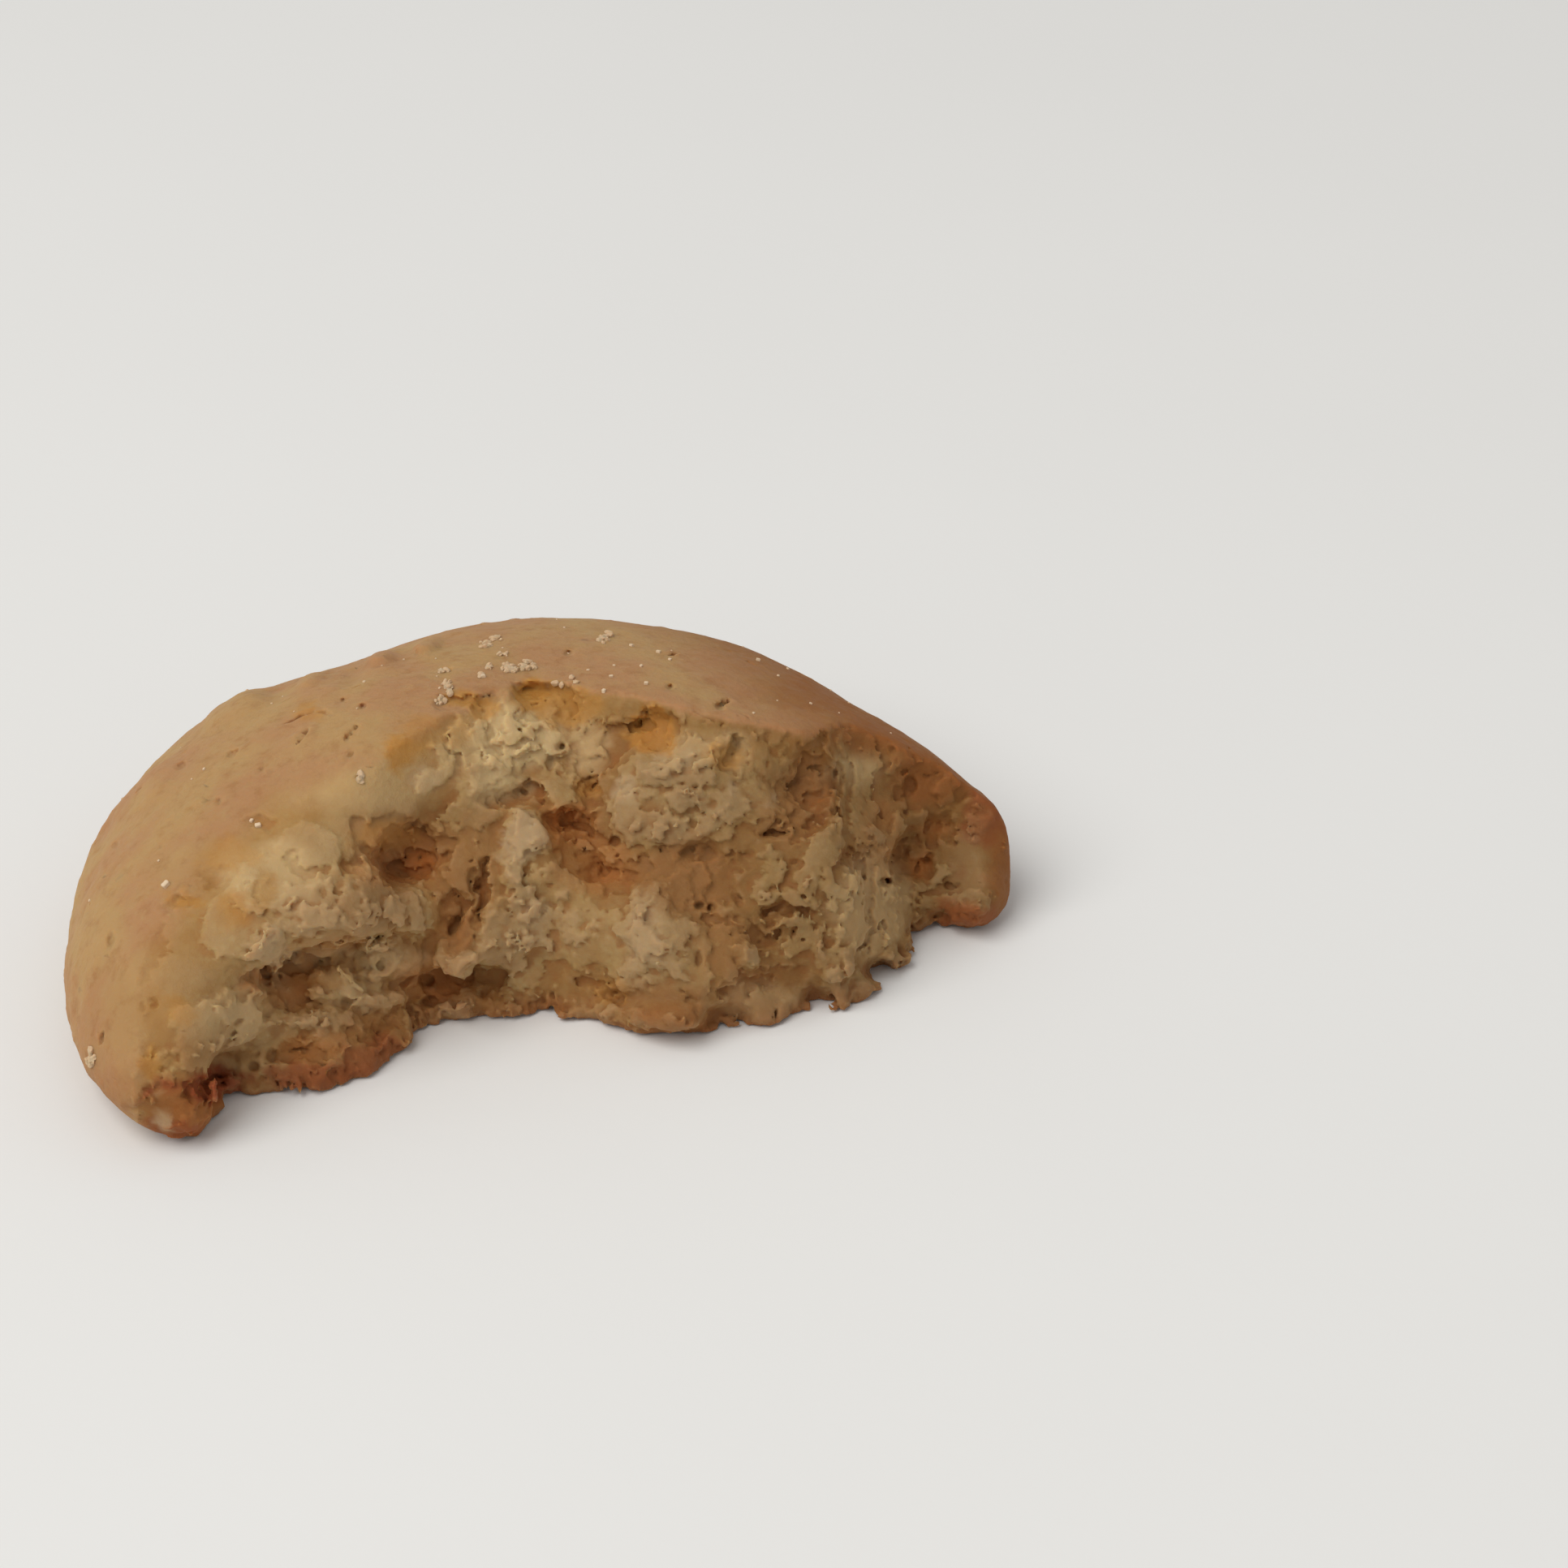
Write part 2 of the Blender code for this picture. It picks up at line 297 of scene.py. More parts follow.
# Broad swellings (or dips) of the crust and of the foot of the break, with their heights in
# millimetres
SWELLS = {
    "upper left, first": (288, 872, 44, 26, 0.45),
    "upper left, second": (392, 848, 34, 20, 0.15),
    "upper left, third": (474, 818, 28, 18, 0.10),
    "upper left, first step": (306, 860, 20, 14, 0.28),
    "upper left, second step": (384, 837, 15, 13, 0.34),
    "upper left, third step": (470, 810, 14, 12, 0.50),
    "upper left, fourth step": (526, 794, 14, 11, 0.42),
    "upper left, first dip": (338, 858, 16, 14, -0.16),
    "upper left, second dip": (434, 834, 14, 14, -0.20),
    "upper left, fourth dip": (500, 812, 12, 12, -0.16),
    "upper left, third dip": (570, 790, 50, 12, -0.18),
    "left, upper": (190, 962, 26, 34, 0.30),
    "left, upper dip": (126, 1026, 16, 22, -0.25),
    "left, middle": (118, 1120, 30, 60, 0.15),
    "left, low": (104, 1240, 24, 34, -0.15),
    "right end": (1222, 1060, 26, 90, 0.35),
    "right end, low": (1218, 1104, 30, 26, 0.55),
    "tip": (220, 1366, 46, 36, 0.60),
    "foot, under the finger": (590, 1238, 40, 20, 0.60),
    "foot, left of the finger": (486, 1284, 18, 16, 0.50),
    "foot, middle": (810, 1254, 66, 18, 0.90),
    "foot, right of the middle": (894, 1254, 24, 14, -1.00),
    "foot, low right": (1030, 1222, 40, 16, -0.50),
    "foot, low right, left": (1002, 1232, 14, 14, -0.80),
    "foot, right": (1082, 1196, 16, 14, -0.90),
    "foot, right end": (1196, 1128, 22, 14, 0.80),
}

# Glassy amber spots; the last number is the tone's strength, here and in the tables below
AMBERS = {
    "rim, left end": (566, 864, 26, 14, 0.7),
    "rim, first": (592, 874, 18, 14, 0.8),
    "rim, second": (656, 858, 22, 18, 1.0),
    "rim, third": (700, 872, 40, 22, 0.7),
    "rim, tongue": (806, 903, 30, 28, 0.9),
    "rim, right": (895, 932, 22, 18, 0.6),
    "shoulder spot": (490, 930, 20, 22, 0.95),
    "shoulder spot, upper": (522, 905, 26, 22, 0.5),
    "shoulder, right": (560, 898, 22, 24, 0.4),
    "left end, first": (285, 1116, 18, 20, 0.65),
    "left end, second": (322, 1104, 16, 20, 0.5),
    "left end, crack": (222, 1113, 22, 9, 0.8),
    "left end, long crack": (284, 1052, 34, 16, 0.5),
    "left end, third": (219, 1250, 20, 14, 0.5),
    "left end, fourth": (188, 1314, 12, 14, 0.8),
    "bottom hollow": (750, 1221, 17, 12, 0.4),
    "small hollow": (726, 968, 18, 16, 0.5),
    "crack of the crust": (380, 876, 16, 9, 0.6),
    "left recess, upper left": (480, 1032, 34, 18, 0.50),
    "left cavity": (392, 1198, 44, 18, 0.30),
}

# Red-brown hollows of the crumb and of the tip: in the crumb's hollows the red-brown is painted shade,
# warm like light that the crumb bounces into them; the tip lump is browned
BROWNS_AND_HOLLOW_SHADE = {
    "middle recess": (698, 1008, 24, 14, 0.75),
    "rim tongue": (806, 906, 24, 22, 0.16),
    "middle recess, middle": (704, 1026, 30, 24, 0.50),
    "middle recess, floor": (730, 1062, 52, 40, 0.30),
    "left recess": (512, 1060, 24, 16, 0.70),
    "left recess, left": (496, 1064, 40, 24, 0.35),
    "left recess, upper": (500, 1036, 44, 18, 0.20),
    "left cavity": (365, 1210, 40, 30, 0.25),
    "left cavity, upper": (405, 1172, 60, 22, 0.20),
    "crack": (556, 1140, 24, 36, 0.12),
    "shelf hollow": (382, 1293, 30, 20, 0.3),
    "tip lump": (232, 1372, 30, 32, 0.30),
    "tip lump, upper": (218, 1344, 26, 14, 0.35),
    "left cavity, corner": (322, 1203, 13, 10, 0.60),
    "low left": (525, 1212, 50, 28, 0.3),
    "right end, inner": (1088, 1006, 18, 14, 0.15),
    "right end, upper": (1154, 1023, 18, 14, 0.35),
    "right end, dark": (1136, 1062, 14, 18, 0.55),
    "right end, brown": (1104, 1060, 30, 22, 0.15),
}

# The whitest lumps and beads
PALES = {
    "white lump": (645, 1035, 26, 30, 0.9),
    "white bead": (772, 970, 15, 17, 0.9),
    "pale bead": (525, 956, 18, 14, 0.6),
    "left flake": (336, 1168, 20, 24, 0.7),
    "right cloud, first": (806, 936, 10, 8, 0.8),
    "right cloud, second": (844, 936, 8, 9, 0.7),
    "right cloud, third": (904, 968, 9, 9, 0.7),
    "right cloud, fourth": (950, 983, 6, 6, 0.9),
    "bottom cloud": (795, 1155, 20, 40, 0.5),
    "bottom cloud, bead": (660, 1130, 18, 20, 0.5),
    "right end": (1190, 1072, 24, 40, 0.15),
    "tip strip, upper": (198, 1350, 8, 12, 0.9),
    "tip strip, lower": (204, 1374, 9, 14, 0.9),
}

# Parts of the crumb that are browner than the rest
TANS = {
    "between the flakes": (470, 1112, 42, 38, 0.70),
    "left flake": (400, 1108, 60, 34, 0.30),
    "left cavity": (400, 1215, 90, 45, 0.20),
    "crack": (566, 1160, 22, 36, 0.90),
    "above the crack": (566, 1080, 26, 22, 0.70),
    "left of the lump": (590, 1030, 26, 60, 0.50),
    "right of the crack": (615, 1140, 28, 60, 0.35),
    "middle": (840, 1078, 52, 48, 0.92),
    "middle, lower": (890, 1160, 50, 36, 0.50),
    "bottom, middle": (820, 1235, 62, 24, 0.88),
    "bottom, left": (410, 1312, 82, 24, 0.70),
    "low left": (440, 1268, 66, 36, 0.35),
    "right hollow": (966, 985, 28, 48, 0.60),
    "right, inner": (1085, 1038, 28, 52, 0.50),
    "left end": (245, 1288, 40, 36, 0.60),
    "lower left plate": (290, 1262, 60, 44, 0.30),
    "shelf": (405, 1256, 62, 24, 0.50),
    "left cavity, corner": (326, 1204, 18, 14, 0.90),
    "right, under the crust": (1085, 920, 60, 24, 0.15),
    "right hollow, middle": (1000, 960, 30, 26, 0.60),
    "right, top": (960, 900, 60, 22, 0.35),
    "rim, left": (606, 890, 28, 38, 0.55),
    "left recess": (560, 1040, 30, 30, 0.40),
    "left recess, top": (490, 1005, 50, 20, 0.45),
    "left cavity, right": (500, 1180, 34, 24, 0.80),
    "left cavity, top": (430, 1150, 70, 14, 0.45),
    "right cloud, top": (835, 915, 26, 18, 0.40),
    "right cloud, low": (790, 1020, 30, 22, 0.35),
}

# Parts of the crumb that are paler and yellower than the rest: partly paler crumb, partly painted light
# on the upper parts and shoulders, which face the light from above
PALE_AND_LIT_PARTS = {
    "upper cloud": (634, 908, 58, 42, 0.75),
    "upper cloud, low left": (612, 968, 34, 22, 0.80),
    "upper cloud, right": (724, 925, 22, 34, 0.50),
    "top left": (560, 915, 30, 40, 0.45),
    "right cloud, top": (850, 925, 50, 24, 0.35),
    "right cloud, right": (905, 925, 18, 22, 0.50),
    "left recess, rim": (466, 1050, 30, 22, 0.25),
    "left shoulder": (330, 1075, 60, 40, 0.50),
    "shoulder": (450, 962, 90, 42, 0.35),
    "left recess, left": (440, 1020, 50, 26, 0.20),
    "right, low": (1075, 1115, 50, 60, 0.35),
    "right, under the crust": (1058, 948, 34, 18, 0.40),
    "left cavity, flakes": (430, 1186, 66, 20, 0.60),
    "left cavity, left": (330, 1204, 26, 16, 0.45),
    "above the tip": (280, 1314, 26, 10, 0.35),
    "cavity flakes": (440, 1222, 50, 18, 0.35),
    "low right": (940, 1235, 50, 24, 0.30),
    "lower left plate": (286, 1256, 50, 34, 0.30),
}

# The darkest baked parts, near the base and at the right end; at the right end they are partly painted
# shade of the other half that leaned there
SCORCHES_AND_SHADE = {
    "tip recess": (266, 1336, 26, 18, 0.95),
    "tip recess, left": (222, 1338, 28, 12, 0.85),
    "tip hole": (188, 1343, 9, 7, 0.90),
    "tip, low": (214, 1392, 36, 14, 0.60),
    "low left foot": (400, 1326, 84, 16, 0.55),
    "low left foot, right": (470, 1296, 30, 16, 0.50),
    "right end, edge": (1210, 1010, 24, 34, 0.50),
    "right foot": (1192, 1130, 44, 16, 0.45),
}

# Parts that are browned like the crust's right end; at the right end the dark red-brown is partly
# painted shade and red reflection of the other half that leaned there
BROWNED_AND_SHADED = {
    "tip lump": (224, 1366, 48, 48, 0.95),
    "tip, left": (150, 1340, 60, 30, 0.35),
    "left, low": (130, 1270, 40, 70, 0.18),
    "right end": (1238, 1050, 24, 110, 0.95),
    "right end, top": (1150, 950, 60, 36, 0.90),
    "right, upper": (1080, 905, 56, 26, 0.80),
    "right, top": (1000, 852, 62, 24, 0.60),
    "right foot": (1188, 1132, 46, 20, 0.90),
    "low left foot": (400, 1332, 62, 14, 0.75),
    "low middle foot": (664, 1244, 40, 12, 0.80),
    "bottom block": (820, 1262, 52, 20, 0.65),
    "under the finger": (578, 1226, 44, 20, 0.45),
    "low left": (480, 1270, 60, 36, 0.35),
}

# Short cracks of the crust: column and row of both ends, then width and depth in millimetres
CRACKS = {
    "top left, first": (348, 893, 392, 870, 0.18, 0.52),
    "top left, second": (362, 916, 378, 893, 0.16, 0.46),
    "top left, first, right": (390, 874, 408, 880, 0.14, 0.40),
    "top left, third": (394, 943, 408, 928, 0.16, 0.42),
    "top left, fourth": (413, 941, 436, 921, 0.16, 0.46),
    "top left, sixth": (434, 849, 446, 842, 0.14, 0.38),
    "top left, seventh": (376, 976, 384, 970, 0.16, 0.36),
    "top left, fifth": (430, 908, 438, 890, 0.16, 0.37),
    "left, long": (304, 1034, 284, 1042, 0.18, 0.56),
    "left, long, middle": (284, 1042, 264, 1066, 0.22, 0.61),
    "left, long, low": (264, 1066, 236, 1074, 0.21, 0.56),
    "left, short": (232, 1116, 198, 1113, 0.24, 0.61),
    "left, branch": (246, 1130, 262, 1146, 0.18, 0.56),
    "left, low": (134, 1222, 144, 1208, 0.16, 0.42),
    "left, edge": (120, 1283, 124, 1268, 0.21, 0.46),
    "left, upper": (316, 1020, 324, 1005, 0.16, 0.46),
    "top right, first": (886, 868, 896, 858, 0.16, 0.42),
    "top right, second": (914, 880, 922, 890, 0.16, 0.42),
}

PATCH_TABLES = {
    "levels": LEVELS,
    "calms": CALMS,
    "pinpricks": PINPRICKS,
    "chips": CHIPS,
    "pinholes": PINHOLES,
    "swells": SWELLS,
    "amber": AMBERS,
    "brown": BROWNS_AND_HOLLOW_SHADE,
    "pale": PALES,
    "browned": BROWNED_AND_SHADED,
    "tan": TANS,
    "bright": PALE_AND_LIT_PARTS,
    "scorched": SCORCHES_AND_SHADE,
}

# How far a patch and a swelling reach into the biscuit at least, and where patches are looked
# for beyond that, in millimetres
FEATURE_REACH = 4.5
SWELL_REACH = 1.6
PATCH_MARGIN = 1.5

# How far the patches that are summed fade out to both sides of their outlines, as shares of
# their sizes, and how far those that are compared do, in millimetres
SOFTNESS = {"levels": 0.40, "calms": 0.30, "swells": 0.60}
CHIP_EDGE = 0.12
PINHOLE_EDGE = 0.08
PINPRICK_EDGE = 0.10
CHIP_TINT_EDGE = 0.20
CRISP_TINT_EDGE = 0.22
SOFT_TINT_EDGE = 0.60

# Cracks on the grid: the height of the lips beside them, the lips' place and width counted in
# half widths of the crack, and how much of the depth the trough has; how far past its length a
# crack is looked for, and the square of its least width at the ends
CRACK_LIP = 0.07
LIP_PLACE = 2.4
LIP_WIDTH = 1.2
CRACK_TROUGH = 0.30
CRACK_MARGIN = 1.5
LEAST_TAPER = 0.05

# The cut in the mesh: its width and depth against the table's, how far beside a crack the mesh
# is made finer, and how often
CRACK_NARROW = 0.60
CRACK_DEPTH = 0.80
CRACK_REACH = 0.40
FINER_ROUNDS = 2

# Cracks at random on the hidden side, in degrees, radians and millimetres
HIDDEN_CRACKS = 16
HIDDEN_AZIMUTHS = (5.0, 150.0)
HIDDEN_ELEVATIONS = (8.0, 60.0)
HIDDEN_TURN = 0.06
HIDDEN_WIDTHS = (0.15, 0.20)
HIDDEN_DEPTHS = (0.35, 0.50)

# Seeds of the noises and of the random draws
SEEDS = {
    "crumb": 11,
    "crumb grain": 12,
    "cracks": 23,
    "crust": 5,
    "base": 41,
    "tints": 77,
    "hidden cracks": 51,
    "loose crumbs": 31,
    "sugar": 32,
    "grain shapes": 61,
}

# Shifts in millimetres, so that the forms drawn from one noise differ
OCTAVE_SHIFT = 17.3
AXIS_SHIFT = 31.7
GRAIN_SHIFT = 9.0
CRINKLE_SHIFT = 2.2
TOOTH_SHIFT = 3.3
LOBE_SHIFT = 4.4
FINE_SHIFT = 7.7
RAGGED_SHIFT = 9.1

# Noises: the size of their forms in millimetres, their octaves and what each octave keeps
CRUMB_SWELL = ((3.6, 3.6, 2.6), 2, 0.50)
CRUMB_RAGGED = (1.0, 4, 0.70)
FOOT_TEETH = ((1.5, 1.5, 2.2), 4, 0.65)
CRUST_SWELL = (6.5, 3, 0.50)
CRUST_PEBBLE = (0.9, 4, 0.60)
CHIP_RAGGED = (0.9, 3, 0.65)
BASE_WAVE = (3.0, 3, 0.50)
TINT_RAGGED = (1.1, 4, 0.65)
BASE_TINT = (1.6, 3, 0.50)

# Bends that make edges ragged: size and octaves, how far they go in millimetres, and the gain
CRUMB_BEND = (2.4, 5, 0.62, 0.66)
GRAIN_BEND = (0.5, 2, 0.10)
CRACK_BEND = (0.7, 3, 0.20)
PINHOLE_BEND = (0.8, 2, 0.20)
PIT_BEND = (1.0, 2, 0.30)

# Sizes of cells, in millimetres
PLATE_CELLS = 1.5
LOBE_CELLS = 0.8
CRINKLE_CELLS = 0.42
SMALL_CELLS = 0.66
FINE_CELLS = 0.36
PINHOLE_CELLS = 1.9
PIT_CELLS = 2.4

# What each form adds to the crumb's height, counted in levels
SWELL_LEVELS = 0.80
PLATE_LEVELS = 0.46
LOBE_LEVELS = 0.30
RAGGED_LEVELS = 0.17
CRINKLE_LEVELS = 0.14
LEAST_RAGGED = 0.35
HEIGHT_MOST = 3.0

# Each step of the crumb's terraces: the level at which it rises, and by how many millimetres
TERRACES = (
    (-2.25, 0.40),
    (-1.75, 0.40),
    (-1.25, 0.38),
    (-0.75, 0.32),
    (-0.25, 0.25),
    (0.25, 0.19),
    (0.75, 0.21),
    (1.25, 0.26),
    (1.75, 0.28),
)
TERRACE_EDGE = 0.035
TERRACE_SLOPE = 0.07
PLATE_DOME = 0.18
DEEPEST = sum(rise for level, rise in TERRACES if level < 0.0)

# How deep under the crust the crumb starts to be lively, and to have levels at all
LIVELY_DEPTHS = (-0.8, 0.3)
LEVEL_DEPTHS = (-0.8, 0.2)

# The foot of the break: heights where it starts and is full, how much flatter its hollows are
# and how far its teeth stand out
FOOT_HEIGHTS = (2.0, 0.3)
FOOT_FLATTER = 0.7
TOOTH_HEIGHT = 0.65
LEAST_TOOTH = 0.30

# Bumps on the crumb, in millimetres; the shares are of bumps taken off where it is calm, and of
# bumps that make the pinpricks' outlines ragged
SMALL_BUMPS = 0.10
FINE_BUMPS = 0.08
CALM_SHARE = 0.6
PINPRICK_RAGGED = -0.4

# The crust: heights in millimetres, and its pinholes, whose radii are shares of a cell
CRUST_SWELL_HEIGHT = 0.14
PEBBLE_HEIGHT = 0.06
RAGGED_WIDTH = 0.16
CHIP_RAGGED_SHARE = 1.6
PINHOLE_RAGGED_SHARE = 0.4
PINHOLE_FROM = 0.70
PINHOLE_LEAST = 0.05
PINHOLE_MORE = 0.09
PINHOLE_RIM = (1.2, 0.5)
PINHOLE_DEPTH = 0.16

# The base: its pits and its slight unevenness
PIT_FROM = 0.5
PIT_RIM = (0.34, 0.12)
PIT_DEPTH = 0.35
WAVE_HEIGHT = 0.05

# Where the grid takes relief, in millimetres: bands about the break, the crust and the base,
# and how far past the others each goes on; then the grid's extra room in front of the break
BREAK_BAND = (-2.3, 1.8)
GRAIN_BAND = 0.45
CRUST_BAND = 1.4
BASE_BAND = 0.6
PAST_CRUST = -0.6
PAST_BREAK = 0.8
PAST_BASE = -0.4
FRONT_ROOM = 1.0

# How wide the edges are rounded: of the break, of its left shoulder, and of the base
BREAK_EDGE = 0.25
SHOULDER_EDGE = 2.2
SHOULDER_X = (-6.0, -14.0)
SHOULDER_Z = (3.5, 7.5)
BASE_EDGE = 0.35

# The field that the surface is taken from: its greatest value, the values at which the flood
# fills start, and how far from the surface a cell is put that changes sides
FIELD_MOST = 1.0
DOUGH_START = -2.0 * GRID_STEP
AIR_START = 1.0
FLIPPED = 1e-3


def eased(t):
    return t * t * (3.0 - 2.0 * t)


def smooth_step(low, high, value):
    """0 up to low and 1 from high on, or the other way round where low is the greater."""
    return eased(np.clip((value - low) / (high - low), 0.0, 1.0))


def smooth_max(a, b, width):
    return 0.5 * (a + b + np.sqrt((a - b) ** 2 + width ** 2))


def at_least(low, share):
    return low + (1.0 - low) * share


# --- Repeatable noise on lists of points ---

LATTICE_BITS = 6
LATTICE = 1 << LATTICE_BITS
LATTICE_MASK = LATTICE - 1


class Noise:
    """Noise on a cubic lattice, which repeats only after LATTICE cells."""

    FAR = 9.0

    def __init__(self, seed):
        draw = np.random.default_rng(seed)
        self.value = draw.random(LATTICE ** 3, dtype=REAL)
        self.jitter = draw.random((LATTICE ** 3, 3), dtype=REAL)

    @staticmethod
    def cell_index(cell):
        i, j, k = (cell[:, n] & LATTICE_MASK for n in range(3))
        return (((i << LATTICE_BITS) | j) << LATTICE_BITS) | k

    def smooth(self, points, size):
        """Smooth noise from -1 to 1 whose cells measure size."""
        scaled = points / np.asarray(size, REAL)
        cell = np.floor(scaled).astype(np.int32)
        t = eased(scaled - cell)
        total = np.zeros(len(points), REAL)
        for corner in np.ndindex(2, 2, 2):
            weight = np.ones(len(points), REAL)
            for n in range(3):
                weight *= t[:, n] if corner[n] else 1.0 - t[:, n]
            total += weight * self.value[self.cell_index(cell + np.array(corner, np.int32))]
        return total * 2.0 - 1.0

    def fractal(self, points, size, octaves, gain):
        """Noises of halved sizes in a sum, each octave gain times as strong as the last."""
        total = np.zeros(len(points), REAL)
        amount = 1.0
        for n in range(octaves):
            moved = points + REAL(OCTAVE_SHIFT * n)
            total += amount * self.smooth(moved, np.asarray(size) / 2.0 ** n)
            amount *= gain
        return total

    def cells(self, points, size):
        """How far, in cells, the nearest of the cells' seeds is, and that seed's own draw."""
        scaled = points / np.asarray(size, REAL)
        cell = np.floor(scaled).astype(np.int32)
        nearest = np.full(len(points), self.FAR, REAL)
        draw = np.zeros(len(points), REAL)
        for step in np.ndindex(3, 3, 3):
            other = cell + (np.array(step, np.int32) - 1)
            index = self.cell_index(other)
            gap = ((other + self.jitter[index] - scaled) ** 2).sum(axis=1)
            closer = gap < nearest
            draw = np.where(closer, self.value[index], draw)
            nearest = np.where(closer, gap, nearest)
        return np.sqrt(nearest), draw


def warp(noise, points, size, octaves, amount, gain=0.5):
    """Offsets that make straight edges ragged."""
    shifts = [REAL(AXIS_SHIFT * (n + 1)) for n in range(3)]
    offsets = [noise.fractal(points + shift, size, octaves, gain) for shift in shifts]
    return np.stack(offsets, axis=1) * REAL(amount)


# --- The camera's rays ---


def outward(azimuth, elevation):
    """The direction from the middle to the side and up, for angles in radians."""
    flat = cos(elevation)
    return np.array((flat * cos(azimuth), flat * sin(azimuth), sin(elevation)))


def cast(tree, start, ray):
    """Where a ray meets the surface, the way out there and how far that is, or Nones."""
    place, normal, _, distance = tree.ray_cast(Vector(start), Vector(ray))
    return place, normal, distance


class View:
    """Where the camera stands and the ray that it sends through a pixel."""

    def __init__(self):
        a = radians(CAMERA_AZIMUTH)
        e = radians(CAMERA_ELEVATION)
        back = np.array((sin(a) * cos(e), -cos(a) * cos(e), sin(e)))
        self.place = AXIS + back * CAMERA_DISTANCE
        self.ahead = CAMERA_AIM - self.place
        self.ahead /= np.linalg.norm(self.ahead)
        self.right = np.cross(self.ahead, (0.0, 0.0, 1.0))
        self.right /= np.linalg.norm(self.right)
        self.up = np.cross(self.right, self.ahead)
        self.focal = CAMERA_LENS / SENSOR * PHOTO_SIZE

    def ray(self, column, row):
        across = column - PHOTO_SIZE / 2.0
        down = row - PHOTO_SIZE / 2.0
        ray = self.ahead * self.focal + self.right * across - self.up * down
        return ray / np.linalg.norm(ray)

    def hit(self, tree, column, row):
        """The place that a pixel shows, and the size of a pixel there."""
        ray = self.ray(column, row)
        place, _, distance = cast(tree, self.place, ray)
        assert place is not None, f"pixel {column}, {row} is beside the biscuit"
        return np.array(place), distance * float(ray @ self.ahead) / self.focal


# --- The dome and the break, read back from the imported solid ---


def tree_of(mesh):
    """A mesh made ready for rays, in millimetres."""
    places = [v.co / MM for v in mesh.vertices]
    return BVHTree.FromPolygons(places, [p.vertices[:] for p in mesh.polygons])


def moved_map(values, step, axis, wrap, outside):
    """A map moved by one cell, with what comes in from outside unless it wraps round."""
    moved = np.roll(values, step, axis)
    if not (wrap and axis == 0):
        edge = [slice(None), slice(None)]
        edge[axis] = 0 if step == 1 else -1
        moved[tuple(edge)] = outside[tuple(edge)]
    return moved


def spread_known(values, known, rounds, wrap):
    """Fills the unknown cells of a map from their known neighbours."""
    filled = np.where(known, values, 0.0)
    weight = known.astype(float)
    nothing = np.zeros_like(filled)
    for _ in range(rounds):
        total = np.zeros_like(filled)
        count = np.zeros_like(filled)
        for axis, step in ((0, -1), (0, 1), (1, -1), (1, 1)):
            total += moved_map(filled * weight, step, axis, wrap, nothing)
            count += moved_map(weight, step, axis, wrap, nothing)
        fresh = ~known & (count > 0)
        filled[fresh] = total[fresh] / count[fresh]
        weight[fresh] = 1.0
    return filled


def blur_map(values, rounds, wrap):
    for _ in range(rounds):
        for axis in (0, 1):
            before, after = (moved_map(values, step, axis, wrap, values) for step in (1, -1))
            values = 0.25 * before + 0.5 * values + 0.25 * after
    return values


# How many cells before a map's end it can still be read: just more than one
EDGE_ROOM = 1.001


def read_map(values, u, v):
    """Values of a map between its cells, at columns u and rows v."""
    u = np.clip(u, 0.0, values.shape[0] - EDGE_ROOM)
    v = np.clip(v, 0.0, values.shape[1] - EDGE_ROOM)
    i = u.astype(np.int32)
    j = v.astype(np.int32)
    s = u - i
    t = v - j
    low = values[i, j] * (1.0 - s) + values[i + 1, j] * s
    high = values[i, j + 1] * (1.0 - s) + values[i + 1, j + 1] * s
    return low * (1.0 - t) + high * t


